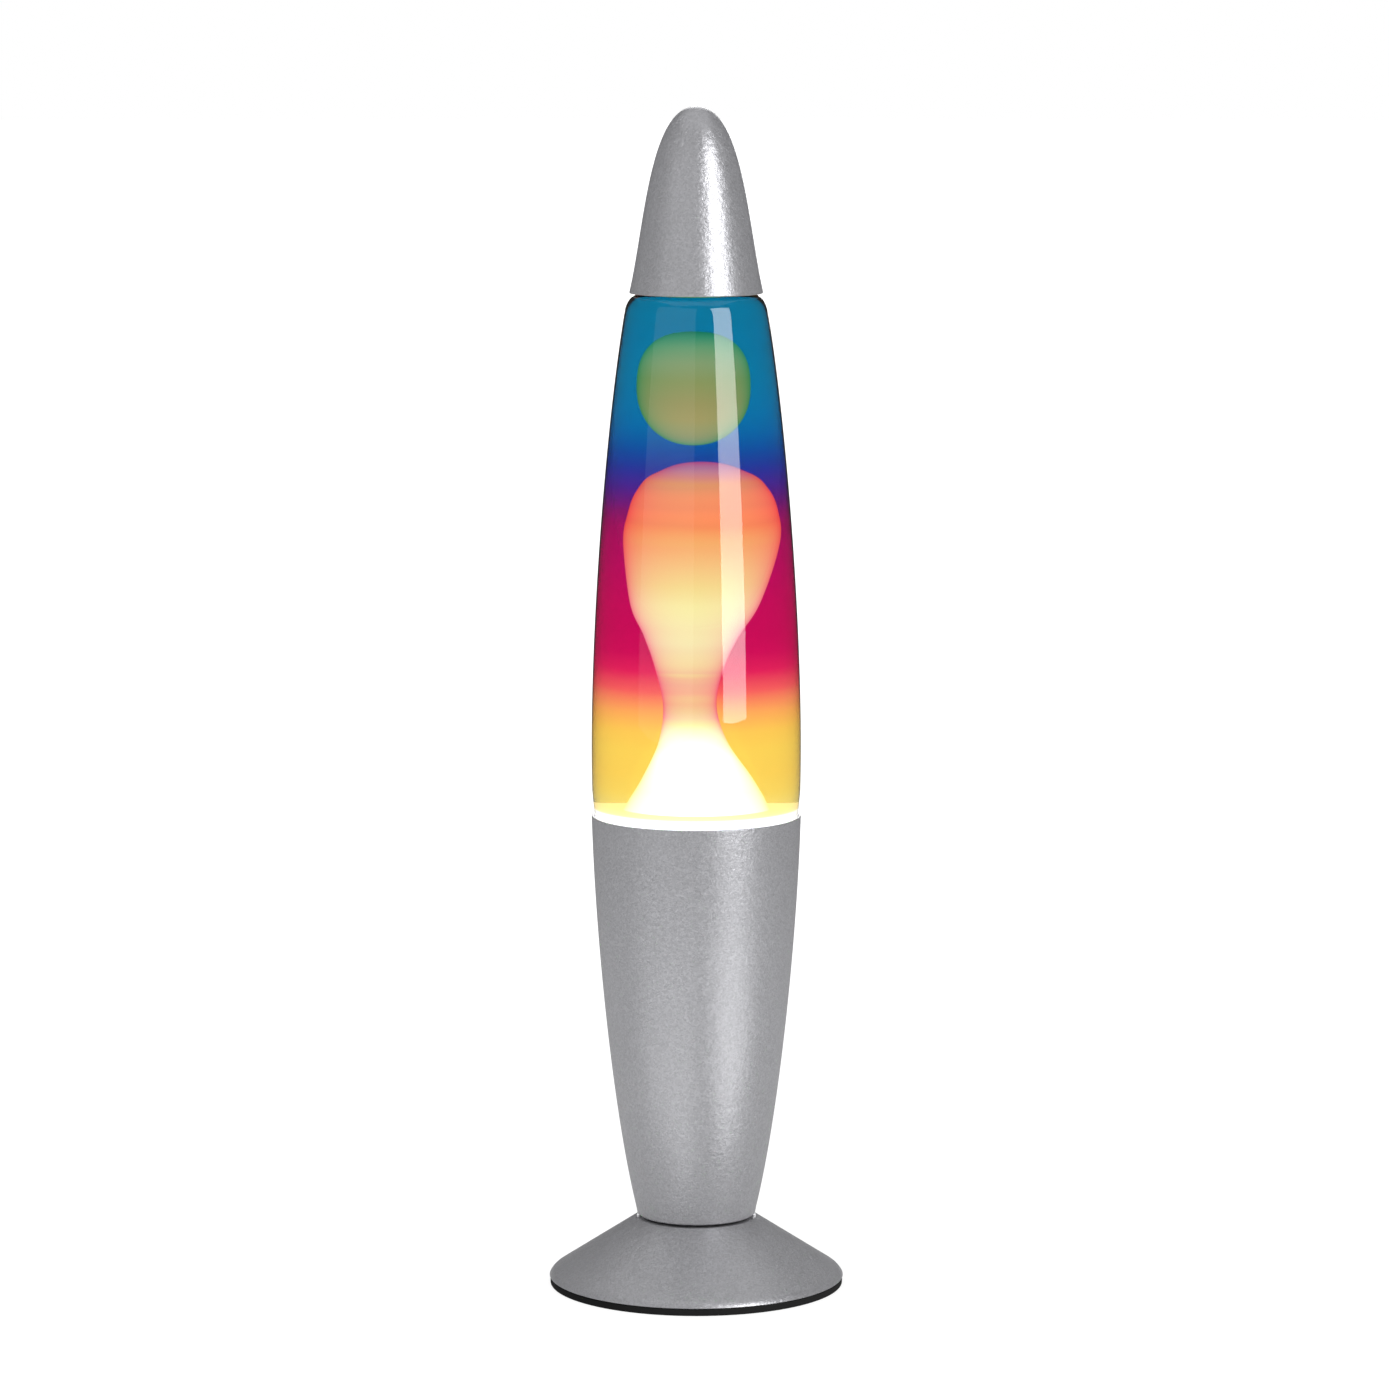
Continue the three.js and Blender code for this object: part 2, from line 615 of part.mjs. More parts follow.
// Outline of the standing wax column, from the pool's surface to the top of its head: shares of
// its height against radius, all let out by the same amount.
function columnOutline(extra) {
  const shape = [
    [0, 18.5], [0.095, 13.6], [0.195, 8.7], [0.3, 6.75], [0.41, 8.8], [0.5, 12.1],
    [0.59, 16.4], [0.76, 19.8], [0.9, 17.7], [0.965, 10.8], [1, 0],
  ];
  const height = headTopZ - poolTopZ;
  const points = shape.map(([share, r]) => at(r + extra, poolTopZ + share * height + extra * share));
  const outline = new THREE.SplineCurve(points).getPoints(11);
  outline[outline.length - 1] = at(0, headTopZ + extra);
  return outline;
}

// The soft column sways to one side at its neck and to the other at its head.
function sway(geometry) {
  const position = geometry.attributes.position;
  for (let i = 0; i < position.count; i += 1) {
    const share = THREE.MathUtils.clamp((position.getZ(i) - poolTopZ) / (headTopZ - poolTopZ), 0, 1);
    const aside = COLUMN_SWAY * Math.sin(2 * Math.PI * (share - 0.62)) * Math.min(1, 8 * share);
    position.setX(i, position.getX(i) + aside);
  }
  return geometry;
}

// An egg-shaped outline with its halves pulled apart along the axis.
function egg(radius, halfHeight, bottom, top) {
  const quarter = (from) => arc(0, 0, 1, from, from + 90, 4);
  const half = (from, z) => quarter(from).map((p) => at(radius * p.x, z + halfHeight * p.y));
  const outline = [...half(-90, bottom), ...half(0, top).slice(bottom === top ? 1 : 0)];
  outline[0].x = 0;
  outline[outline.length - 1].x = 0;
  return outline;
}

function makeWax() {
  const floorZ = bottleFloorZ + GAP;
  const side = offset(bottleInside, GAP).filter((p) => p.y > floorZ + 1 && p.y < poolTopZ - 1.5);
  const outline = [
    at(0, floorZ + BOTTLE_PUNT),
    at(baseFlat - 2, floorZ),
    at(bottleInsideRadius(floorZ + 1) - 3, floorZ),
    ...side,
    at(bottleInsideRadius(poolTopZ - 1) - GAP, poolTopZ - 1),
    at(24, poolTopZ - 0.6),
    ...columnOutline(0),
  ];
  const clear = COIL_RADIUS + COIL_WIRE + GAP;
  const groove = ring(coilRing - clear, coilRing + clear, bottleZ, floorZ + 2 * clear, WAX_SIDES);
  add('wax_column', cut(sway(turned(outline, WAX_SIDES)), groove), finish(0xffb070, 0.4, 0));
  const ball = egg(BALL_RADIUS, BALL_HALF_HEIGHT, ballZ, ballZ);
  add('wax_ball', turned(ball, WAX_SIDES), finish(0x9aa860, 0.4, 0));
}

// A wire coil lying in a ring on the floor of the bottle; it draws the melted wax together.
function makeCoil() {
  const steps = COIL_TURNS * 6;
  const z = bottleFloorZ + GAP + COIL_RADIUS + COIL_WIRE;
  const points = [];
  for (let i = 0; i < steps - 4; i += 1) {
    const around = (i * 2 * Math.PI) / steps;
    const turn = around * COIL_TURNS;
    const r = coilRing + COIL_RADIUS * Math.cos(turn);
    points.push([r * Math.cos(around), r * Math.sin(around), z + COIL_RADIUS * Math.sin(turn)]);
  }
  add('wire_coil', wire(points, COIL_WIRE, points.length - 1, 4), zincSteel());
}

// The liquid fills the bottle above the wax; the loose blob has a clear way through it.
function makeLiquid() {
  const bottom = poolTopZ + GAP;
  const side = offset(bottleInside, GAP).filter((p) => p.y > bottom + 0.5);
  const outline = [
    at(0, bottom),
    at(bottleInsideRadius(bottom) - GAP, bottom),
    ...side,
    at(neckBore + 2 - GAP, shoulderZ - BOTTLE_WALL - GAP),
    at(neckBore - GAP, shoulderZ - 1 - GAP),
    at(neckBore - GAP, liquidTopZ),
    at(0, liquidTopZ),
  ];
  const above = columnOutline(GAP);
  const column = sway(turned([at(0, bottom - 5), at(above[0].x, bottom - 5), ...above], WAX_SIDES));
  const way = egg(BALL_RADIUS + GAP, BALL_HALF_HEIGHT + GAP, ballZ - BALL_DOWN, ballZ + BALL_UP);
  const vent = disc(2, ballZ + BALL_UP, liquidTopZ + 1, 8);
  add('liquid', cut(turned(outline, SHELL_SIDES), column, turned(way, WAX_SIDES), vent), clearGlass());
}

// ---- cap ---------------------------------------------------------------------------------------
function makeCap() {
  const top = capZ + CAP_HEIGHT;
  const outside = bezier([capRadius, capZ], [capRadius - 5.3, capZ + 22.6], [15.7, top], [0, top], 8);
  const inside = offset(outside, CAP_WALL).map((p) => at(p.x, Math.max(p.y, capZ)));
  inside[inside.length - 1] = at(0, top - CAP_WALL);
  add('nose_cap', turned([...outside, ...inside.reverse()], SHELL_SIDES), flakeSilver());

  // A soft ring inside the rim centres the cap and clears the closure as the cap comes off.
  const ringTop = capZ + 6;
  const within = capRadius - 0.235 * (ringTop - capZ) - CAP_WALL - GAP;
  add('cap_ring', ring(crownRadius + 0.8, within, capZ + 1.5, ringTop, SHELL_SIDES), blackMoulding());
}

// ---- wiring in the foot ------------------------------------------------------------------------
function makeBlock() {
  const bottom = plateZ + PLATE_THICKNESS + GAP;
  const middle = bottom + BLOCK_SIZE.z / 2;
  const poles = [-BLOCK_PITCH, 0, BLOCK_PITCH];
  const screwYs = [blockY - 3, blockY + 3];
  const cuts = [];
  poles.forEach((x) => {
    cuts.push(disc(1.6, -10, 10, 10).rotateX(Math.PI / 2).translate(x, blockY, middle));
    screwYs.forEach((y) => cuts.push(disc(1.5 + GAP, middle, middle + 10, 12).translate(x, y, 0)));
  });
  add('terminal_block', cut(box(BLOCK_SIZE, 0, blockY, middle), ...cuts), finish(0xe9e6dc, 0.5, 0));
  const names = ['live', 'earth', 'neutral'];
  poles.forEach((x, i) => {
    screwYs.forEach((y, j) => {
      const screw = disc(1.5, middle + 1.9, middle + 3.6, 12).translate(x, y, 0);
      add(`block_screw_${names[i]}_${j + 1}`, screw, brass());
    });
  });
  return { y: blockY + BLOCK_SIZE.y / 2 + GAP, z: middle };
}

function makeEarth() {
  const tagZ = bracketBottomZ - GAP - 0.5;
  const tail = 8.6;
  const tag = new THREE.Shape().absarc(0, 0, EARTH_TAG_RADIUS, -Math.PI / 3, (4 * Math.PI) / 3);
  tag.lineTo(-EARTH_TAG_RADIUS / 2, -tail);
  tag.lineTo(EARTH_TAG_RADIUS / 2, -tail);
  tag.closePath();
  tag.holes.push(circle(EARTH_SCREW_RADIUS + GAP));
  add('earth_tag', plate(tag, tagZ, 0.5).translate(earthX, 0, 0), brass());
  const headZ = tagZ - GAP;
  const screw = [
    [0, headZ - 1.6],
    [2.6, headZ - 1.6],
    [2.6, headZ],
    [EARTH_SCREW_RADIUS, headZ],
    [EARTH_SCREW_RADIUS, bracketTopZ],
    [0, bracketTopZ],
  ];
  add('earth_screw', turned(screw, 12).translate(earthX, 0, 0), zincSteel());
  return [earthX, -tail - GAP, tagZ + 0.25];
}

function makeLeads(block, tagEnd) {
  const sleeve = (color) => finish(color, 0.7, 0);
  // The two supply leads climb through the threaded tube to the screws under the insert.
  const climb = (side) => [
    [side * BLOCK_PITCH, block.y, block.z],
    [side * 5.5, -11, block.z],
    [side * 1.8, -5, tubeBottomZ - 3.4],
    [side * 1.5, -0.9, tubeBottomZ - 1.2],
    [side * 1.5, 0, tubeBottomZ + 4],
    [side * 1.5, 0, tubeTopZ],
    [side * 2.4, 0, insertZ - 3],
    [side * (TERMINAL_X - 2.2 - GAP), 0, insertZ - GAP - WIRE_RADIUS],
  ];
  add('lead_live', wire(climb(-1), WIRE_RADIUS, 22), sleeve(0x6b4226));
  add('lead_neutral', wire(climb(1), WIRE_RADIUS, 22), sleeve(0x2f62a8));
  const [tagX, tagY, tagZ] = tagEnd;
  const earth = [
    [0, block.y, block.z],
    [tagX / 3, block.y + 1.7, block.z + 1.3],
    [tagX - 2, block.y + 3.2, block.z + 6],
    [tagX, tagY - 2.5, tagZ - 1.4],
    tagEnd,
  ];
  add('lead_earth', wire(earth, WIRE_RADIUS * 0.8, 12), sleeve(0x4f9a3a));
}

makeFoot();
makeGland();
makeCup();
makeClamp();
makeHolder();
makeBulb();
makeBottle();
makeClosure();
makeWax();
makeCoil();
makeLiquid();
makeCap();
makeLeads(makeBlock(), makeEarth());

export default lamp;
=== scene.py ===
"""Lava lamp: the fine pieces and their finishes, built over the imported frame."""

import math

import bmesh
import bpy
from bpy.props import FloatProperty, FloatVectorProperty, IntProperty, PointerProperty
from mathutils import Matrix, Vector
from mathutils.geometry import interpolate_bezier


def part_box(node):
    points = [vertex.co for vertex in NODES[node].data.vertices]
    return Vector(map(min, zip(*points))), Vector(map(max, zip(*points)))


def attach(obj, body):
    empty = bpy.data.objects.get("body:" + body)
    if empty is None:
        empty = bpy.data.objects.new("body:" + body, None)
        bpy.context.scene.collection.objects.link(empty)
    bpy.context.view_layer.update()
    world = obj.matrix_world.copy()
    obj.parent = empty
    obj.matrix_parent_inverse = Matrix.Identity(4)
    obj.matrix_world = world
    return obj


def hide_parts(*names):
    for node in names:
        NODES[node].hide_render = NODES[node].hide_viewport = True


bl_info = {
    "name": "Lava Lamp",
    "version": (1, 0, 0),
    "blender": (4, 5, 0),
    "location": "3D View > Sidebar > Lamp",
    "description": "Builds a lava lamp with a spun metal cup, foot and cap over its packed frame",
    "category": "Object",
}

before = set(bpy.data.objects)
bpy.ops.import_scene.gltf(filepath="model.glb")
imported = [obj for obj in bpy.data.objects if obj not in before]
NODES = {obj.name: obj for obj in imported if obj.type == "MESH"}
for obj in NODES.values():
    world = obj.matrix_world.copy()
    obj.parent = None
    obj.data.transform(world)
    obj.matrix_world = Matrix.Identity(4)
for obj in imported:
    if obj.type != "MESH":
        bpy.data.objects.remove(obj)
MM = 0.001


def low(name):
    """Height of a frame node's lowest point, in mm."""
    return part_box(name)[0].z / MM


def high(name):
    """Height of a frame node's highest point, in mm."""
    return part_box(name)[1].z / MM


def linear(code):
    """An sRGB hex colour as linear red, green and blue."""
    shares = [int(code[i : i + 2], 16) / 255 for i in (1, 3, 5)]
    return tuple(s / 12.92 if s <= 0.04045 else ((s + 0.055) / 1.055) ** 2.4 for s in shares)


# ---- sizes and colours a user would change ----
def length(name, description, default):
    """A length setting, in metres."""
    return FloatProperty(name=name, description=description, default=default, unit="LENGTH")


def colour_of(name, description, code):
    """A colour setting, from an sRGB hex colour."""
    return FloatVectorProperty(
        name=name, description=description, subtype="COLOR", default=linear(code), min=0, max=1
    )


def brightness(name, description, default):
    """A setting for how bright a part of the studio is."""
    about = f"Brightness of {description}"
    return FloatProperty(name=name, description=about, default=default, min=0)


class LampSizes(bpy.types.PropertyGroup):
    sides: IntProperty(
        name="Sides", description="Facets round a spun piece", default=144, min=24, max=256
    )
    rim_round: length("Broken edge", "Radius on the cut edges of the spun metal", 0.0003)
    flake: length("Flake size", "Width of one cluster of flake in the silver lacquer", 0.00055)
    flutes: IntProperty(
        name="Flutes",
        description="Number of flutes round the crown closure",
        default=21,
        min=12,
        max=29,
    )


class LampColours(bpy.types.PropertyGroup):
    silver: colour_of("Silver lacquer", "Colour of the spun cup, foot and cap", "#b4b4b8")
    pad: colour_of("Foam pad", "Colour of the pad under the foot", "#0b0b0c")
    moulding: colour_of("Black mouldings", "Colour of the holder, spacer and cord gland", "#141416")


class StudioSettings(bpy.types.PropertyGroup):
    strip: brightness("Strip box", "the tall soft box", 7.0)
    wall: brightness("Left panel", "the wide left panel", 0.45)
    ceiling: brightness("Ceiling panel", "the panel overhead", 0.55)
    back: brightness("Back box", "the soft box behind the lamp", 3.0)
    floor_strip: brightness("Strip on the floor", "the strip box in the floor's gloss", 1.8)
    floor_wall: brightness("Wall on the floor", "the left panel in the floor's gloss", 0.7)
    room: brightness("Room", "the room in reflections", 0.07)
    lens: FloatProperty(
        name="Lens",
        description="Focal length of the camera",
        default=142.77,
        unit="CAMERA",
        min=20,
    )


# ---- outlines: (radius, height) in mm ----
CAP_FOOT = low("nose_cap")
CAP_TIP = high("nose_cap")
CUP_FOOT = low("cup")
CUP_RIM = high("cup")
FOOT_EDGE = low("foot_cone")
FOOT_TOP = high("foot_cone")
BASE = low("bottle_glass")
MOUTH = high("bottle_glass")
SHOULDER = MOUTH - 20
POOL = low("liquid") - 0.3
COLUMN_TOP = high("wax_column")
BALL = (low("wax_ball") + high("wax_ball")) / 2
LIQUID_TOP = high("liquid")
BULB = low("bulb_contact")
HOLDER = low("holder_dome")
TUBE_HOLE = 5.3
GLAND_Z = (low("cord_gland") + high("cord_gland")) / 2
FOOT_PAD_RADIUS = 49.9
# The foot's rounded rim: the radius and height of its centre, and how round it is.
RIM_RADIUS = 45.2
RIM_Z = FOOT_EDGE - 2.4
RIM_ROUND = 5.5
GLASS_WALL = 2.2
NECK_RADIUS = 12.6
NECK_BORE = 10
# Height of the bottle's floor over its base, by radius.
FLOOR_RISE = {0: 4.4, 6: 4.2, 12: 3.6, 20: 3}
# The liquid's skin stands a little off the glass, so that the two never cross.
LIQUID_GAP = 0.05
# The wax: its gap from the glass, the column's sway, and the blob's radii, shift and fullness.
WAX_GAP = 0.4
COLUMN_SWAY = 1.8
BLOB_RADII = (14.4, 14.4, 18.8)
BLOB_SHIFT = (-0.7, 0, -0.4)
BLOB_FULLNESS = {"above": 2.5, "below": 2.15}
FLUTE_SWELL = 0.028


def bow(a, b, c, d, steps=12):
    """Points of a smooth bow from a to d, pulled towards b and c."""
    points = interpolate_bezier(*(Vector((r, 0, z)) for r, z in (a, b, c, d)), steps + 1)
    return [(p.x, p.z) for p in points]


def sweep(r, z, radius, start, end, steps=8):
    """Points of a round corner about (r, z), from one angle to another in degrees."""
    angles = [math.radians(start + (end - start) * i / steps) for i in range(steps + 1)]
    return [(r + radius * math.cos(a), z + radius * math.sin(a)) for a in angles]


def inset(outline, distance):
    """The outline moved sideways, to the left as it is walked."""
    moved = []
    for i, (r, z) in enumerate(outline):
        before = outline[max(i - 1, 0)]
        after = outline[min(i + 1, len(outline) - 1)]
        along = Vector((after[0] - before[0], after[1] - before[1])).normalized()
        moved.append((max(r - along.y * distance, 0), z + along.x * distance))
    return moved


def bottle_skin():
    """Outside of the bottle from the edge of its flat base to the start of its neck."""
    widest, turn = (35.2, BASE + 30), (23.85, SHOULDER - 5.4)
    return (
        bow((24, BASE), (31, BASE), (33.4, BASE + 9), widest, 20)
        + bow(widest, (36.4, BASE + 74), (31, SHOULDER - 47.4), turn, 80)[1:]
        + bow(turn, (23.15, SHOULDER - 1.9), (21.35, SHOULDER), (18.85, SHOULDER), 14)[1:]
    )


def bottle_inside(gap):
    """Inside of the bottle's wall, moved a further gap inwards, from floor to neck."""
    floor = BASE + FLOOR_RISE[20] + gap
    skin = inset(bottle_skin(), GLASS_WALL + gap)
    side = [(r, max(z, floor)) for r, z in skin if z < SHOULDER - 2.5]
    return side + [(12.4 - gap, SHOULDER - 2.3 - gap), (10.4 - gap, SHOULDER - 1.2 - gap)]


def bottle_floor(gap, *radii):
    """Points of the bottle's floor, moved up by a gap, at the radii asked for."""
    return [(r, BASE + FLOOR_RISE[r] + gap) for r in radii]


def smoothed(points, steps=10):
    """A smooth line through points, which comes level into the last one, on the axis."""
    line = []
    last = len(points) - 2
    for i in range(last + 1):
        before, after = Vector(points[max(i - 1, 0)]), Vector(points[min(i + 2, last + 1)])
        a, d = Vector(points[i]), Vector(points[i + 1])
        lead = (d - before) / 6 if i else (d - a) / 3
        trail = (after - a) / 6 if i < last else Vector((-a.x / 1.8, 0))
        line += bow(a, a + lead, d - trail, d, steps)[:-1]
    return line + [points[-1]]


# Shares of the standing wax column's height against its radius.
COLUMN = (
    (0, 18.5),
    (0.095, 13.6),
    (0.195, 8.7),
    (0.3, 6.75),
    (0.41, 8.8),
    (0.5, 12.1),
    (0.59, 16.4),
    (0.76, 19.8),
    (0.85, 19.0),
    (0.915, 16.7),
    (0.965, 12.0),
    (1, 0),
)


# ---- making pieces ----
def turned(outline, sides, closed=False):
    """A bmesh spun round the lamp's axis from an outline in mm."""
    bm = bmesh.new()
    verts = [bm.verts.new((r * MM, 0, z * MM)) for r, z in outline]
    edges = [bm.edges.new(pair) for pair in zip(verts, verts[1:])]
    if closed:
        edges.append(bm.edges.new((verts[-1], verts[0])))
    bmesh.ops.spin(
        bm,
        geom=verts + edges,
        cent=(0, 0, 0),
        axis=(0, 0, 1),
        dvec=(0, 0, 0),
        angle=2 * math.pi,
        steps=sides,
        use_merge=True,
    )
    bmesh.ops.remove_doubles(bm, verts=bm.verts, dist=1e-6)
    bmesh.ops.recalc_face_normals(bm, faces=bm.faces)
    return bm


def face_out(bm):
    """Turns an open skin so that its faces point away from the axis."""
    bm.normal_update()
    widest = max(bm.faces, key=lambda f: f.calc_center_median().xy.length)
    centre = widest.calc_center_median()
    if widest.normal.xy.dot(centre.xy) < 0:
        bmesh.ops.reverse_faces(bm, faces=bm.faces)


def piece(name, bm, body, slot, stands_for=(), sharp=40):
    """The finished object: smooth shaded, in its slot's finish, riding its body for its frame
    nodes."""
    mesh = bpy.data.meshes.new(name)
    bm.to_mesh(mesh)
    bm.free()
    mesh.shade_smooth()
    mesh.set_sharp_from_angle(angle=math.radians(sharp))
    made = bpy.data.objects.new(name, mesh)
    bpy.context.scene.collection.objects.link(made)
    mesh.materials.append(finishes()[slot])
    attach(made, body)
    if stands_for:
        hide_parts(*stands_for)
    return made


def walled(made, wall, edge):
    """Gives an open skin its wall, inwards, and breaks the edges of its rims, in metres."""
    shell = made.modifiers.new("Wall", "SOLIDIFY")
    shell.thickness = wall
    shell.offset = -1
    shell.use_even_offset = True
    rounding = made.modifiers.new("Edges", "BEVEL")
    rounding.width = edge
    rounding.segments = 3
    rounding.limit_method = "ANGLE"
    rounding.angle_limit = math.radians(60)
    rounding.harden_normals = True


# ---- materials ----
def node(tree, kind, inputs=None, stops=None, **settings):
    """Adds a node; inputs are values or the sockets linked in, stops the colours of a ramp."""
    added = tree.nodes.new(kind)
    for key, value in settings.items():
        setattr(added, key, value)
    for key, value in (inputs or {}).items():
        if isinstance(value, bpy.types.NodeSocket):
            tree.links.new(value, added.inputs[key])
        else:
            added.inputs[key].default_value = value
    if stops:
        elements = added.color_ramp.elements
        while len(elements) < len(stops):
            elements.new(0.5)
        for element, (place, colour) in zip(elements, stops):
            element.position = place
        for element, (place, colour) in zip(elements, stops):
            element.color = (*colour, 1) if len(colour) == 3 else colour
    return added


def material(name):
    """An empty material and its node tree."""
    made = bpy.data.materials.new(name)
    made.use_nodes = True
    made.node_tree.nodes.clear()
    return made, made.node_tree


def surface(tree, inputs):
    """Ends a material in one Principled shader."""
    shader = node(tree, "ShaderNodeBsdfPrincipled", inputs)
    node(tree, "ShaderNodeOutputMaterial", {"Surface": shader.outputs[0]})
    return shader


def per_mm(size):
    """Texture scale for features of a size in mm."""
    return 1 / (size * MM)


def span(value, start, end, low=0.0, high=1.0):
    """Inputs of a range node that turns start to end into low to high."""
    return {"Value": value, "From Min": start, "From Max": end, "To Min": low, "To Max": high}


def silver_lacquer():
    """Spun aluminium under satin lacquer with aluminium flake: a soft bright sheen that breaks
    into fine glitter at the edge of a highlight. The flake is drawn coarser than the real
    0.05 mm, in clusters that show at arm's length."""
    sizes, colours = bpy.context.scene.lamp_sizes, bpy.context.scene.lamp_colours
    made, tree = material("aluminium_flake_lacquered")
    place = node(tree, "ShaderNodeTexCoord").outputs["Object"]
    flake = node(
        tree,
        "ShaderNodeTexVoronoi",
        {"Vector": place, "Scale": 1 / sizes.flake},
        feature="F1",
    )
    fine = node(
        tree,
        "ShaderNodeTexNoise",
        {"Vector": place, "Scale": per_mm(1.6), "Detail": 3, "Roughness": 0.6},
    )
    cloud = node(tree, "ShaderNodeTexNoise", {"Vector": place, "Scale": per_mm(35), "Detail": 2})
    tone = node(tree, "ShaderNodeMapRange", span(flake.outputs["Color"], 0, 1, 0.84, 1.12))
    cloudy = node(tree, "ShaderNodeMapRange", span(cloud.outputs[0], 0.3, 0.7, 0.97, 1.03))
    both = node(
        tree, "ShaderNodeMath", {0: tone.outputs[0], 1: cloudy.outputs[0]}, operation="MULTIPLY"
    )
    colour = node(
        tree,
        "ShaderNodeMix",
        {"Factor": 1.0, "A": (*colours.silver, 1), "B": both.outputs[0]},
        data_type="RGBA",
        blend_type="MULTIPLY",
    )
    rough = node(tree, "ShaderNodeMapRange", span(fine.outputs[0], 0.3, 0.7, 0.3, 0.4))
    height = node(
        tree, "ShaderNodeMath", {0: flake.outputs["Color"], 1: fine.outputs[0]}, operation="ADD"
    )
    bump = node(
        tree,
        "ShaderNodeBump",
        {"Strength": 1.0, "Distance": 0.0002, "Height": height.outputs[0]},
    )
    surface(
        tree,
        {
            "Base Color": colour.outputs["Result"],
            "Metallic": 0.5,
            "Roughness": rough.outputs[0],
            "Normal": bump.outputs[0],
            "Coat Weight": 0.25,
            "Coat Roughness": 0.3,
        },
    )
    return made


def grained(name, rgb, marks, streak, patch, dark, rough, relief, shader):
    """A finish with the fine marks of its making, stretched by streak, and a slight unevenness:
    patches of a size in mm that are darker by a share. Rough is the range of its roughness."""
    made, tree = material(name)
    place = node(tree, "ShaderNodeTexCoord").outputs["Object"]
    along = node(tree, "ShaderNodeMapping", {"Vector": place, "Scale": streak}).outputs[0]
    fine = node(tree, "ShaderNodeTexNoise", {"Vector": along, **marks}).outputs[0]
    shade = node(tree, "ShaderNodeTexNoise", {"Vector": place, "Scale": per_mm(patch), "Detail": 3})
    tint = node(
        tree,
        "ShaderNodeValToRGB",
        {"Fac": shade.outputs[0]},
        stops=[(0.3, [c * (1 - dark) for c in rgb]), (0.7, rgb)],
    )
    level = node(tree, "ShaderNodeMapRange", span(fine, 0.3, 0.7, *rough))
    bump = node(tree, "ShaderNodeBump", {"Height": fine, **relief})
    surface(
        tree,
        {
            "Base Color": tint.outputs[0],
            "Roughness": level.outputs[0],
            "Normal": bump.outputs[0],
            **shader,
        },
    )
    return made


def plated(name, code, roughness, streak=(1, 1, 6)):
    """Metal with the marks of drawing, turning or rolling, longer one way than another."""
    marks = {"Scale": per_mm(1.2), "Detail": 4, "Roughness": 0.65}
    rough = (roughness - 0.07, roughness + 0.1)
    relief = {"Strength": 0.3, "Distance": 0.00003}
    return grained(name, linear(code), marks, streak, 7, 0.18, rough, relief, {"Metallic": 1.0})


def moulded(name, rgb, roughness, grit=0.5, depth=0.03, ior=1.5, dark=0.25):
    """Plastic, rubber or ceramic with the pebble of its mould, grit mm wide and depth mm deep."""
    marks = {"Scale": per_mm(grit), "Detail": 2, "Roughness": 0.5}
    rough = (roughness - 0.06, min(roughness + 0.08, 1))
    relief = {"Strength": 0.5, "Distance": depth * MM}
    return grained(name, rgb, marks, (1, 1, 1), 9, dark, rough, relief, {"IOR": ior})


def blown_glass(name, ior):
    """Blown soda-lime glass: clear, with the faint long waves that blowing leaves in its wall.
    Where it is wetted its index is the glass's over the liquid's, so the inner face all but
    vanishes and the liquid reaches the edge of the bottle, as in the real one."""
    made, tree = material(name)
    place = node(tree, "ShaderNodeTexCoord").outputs["Object"]
    tall = node(tree, "ShaderNodeMapping", {"Vector": place, "Scale": (1, 1, 0.25)}).outputs[0]
    long = {"Vector": tall, "Scale": per_mm(26), "Detail": 1}
    wave = node(tree, "ShaderNodeTexNoise", long).outputs[0]
    bump = node(tree, "ShaderNodeBump", {"Strength": 0.1, "Distance": 0.0003, "Height": wave})
    surface(
        tree,
        {
            "Base Color": (0.98, 0.995, 0.99, 1),
            "Roughness": 0.0,
            "IOR": ior,
            "Transmission Weight": 1.0,
            "Normal": bump.outputs[0],
        },
    )
    return made


# Tint of the liquid by height in mm.
TINTS = (
    (150, "#f4dc98"),
    (159.5, "#f0dc96"),
    (166.5, "#eecf5e"),
    (173.3, "#f0c450"),
    (187, "#f0c551"),
    (193.8, "#f3b44f"),
    (200.6, "#f08a5a"),
    (207.3, "#e53a55"),
    (214.1, "#c90b52"),
    (221, "#bd074f"),
    (234.5, "#b80751"),
    (248, "#ab0755"),
    (255, "#a30755"),
    (261.6, "#8e0c57"),
    (268.4, "#5a1675"),
    (275.1, "#34248a"),
    (281.9, "#143b8f"),
    (288.6, "#045898"),
    (295.3, "#03679b"),
    (308.7, "#036d96"),
    (322, "#036b93"),
    (335, "#036d90"),
    (350, "#036f90"),
)
# Painted glow of the standing wax, in place of the bulb's light through it: its colour as seen
# through the liquid, by height in mm, and how many times brighter the painted pool glow is than that.
WARM = (
    (140, "#fffbec", 1.6),
    (183, "#fffdfa", 1.6),
    (188, "#fdf6ec", 1.3),
    (193.8, "#fee6b4", 1.1),
    (198, "#fdd49c", 1),
    (200.6, "#fdc292", 1),
    (207.3, "#fbb898", 1),
    (209.5, "#fbbf98", 1),
    (211.8, "#fcd2a0", 1),
    (214, "#fde2a6", 1),
    (217.5, "#feecae", 1),
    (221, "#fef3b6", 1),
    (228, "#fffab4", 1),
    (234.5, "#fff5aa", 1),
    (241, "#fce292", 1),
    (248, "#fdca83", 1),
    (255, "#fcb66f", 1),
    (261.6, "#fb945f", 1),
    (268.4, "#fb9566", 1),
    (275, "#e79f6c", 1),
    (279, "#c890a0", 1),
    (282, "#b888a8", 1),
)
# Painted glow of the loose blob, in place of the bulb's light through it: height in mm, colour as seen
# through the liquid, and how many times brighter.
GREEN = (
    (286, "#d29e82", 1),
    (290, "#b29e74", 1),
    (296, "#ac9e66", 1),
    (302, "#9d9860", 1),
    (309, "#8b985e", 1),
    (315, "#869f70", 1),
    (320, "#6c9e72", 1),
    (323, "#4c9470", 1),
    (325.5, "#38866c", 1),
)
# The wax's painted rim shade, a tinted coat that darkens its edges, is cream up to the first
#  height, in mm, and in full colour from the second.
RIM_SHADE_CREAM = 188
RIM_SHADE_FULL = 196
# How far each texture lets the bands wander up and down, in metres.
LIQUID_DRIFT = 0.0012
WAX_SWIRL = 0.0008


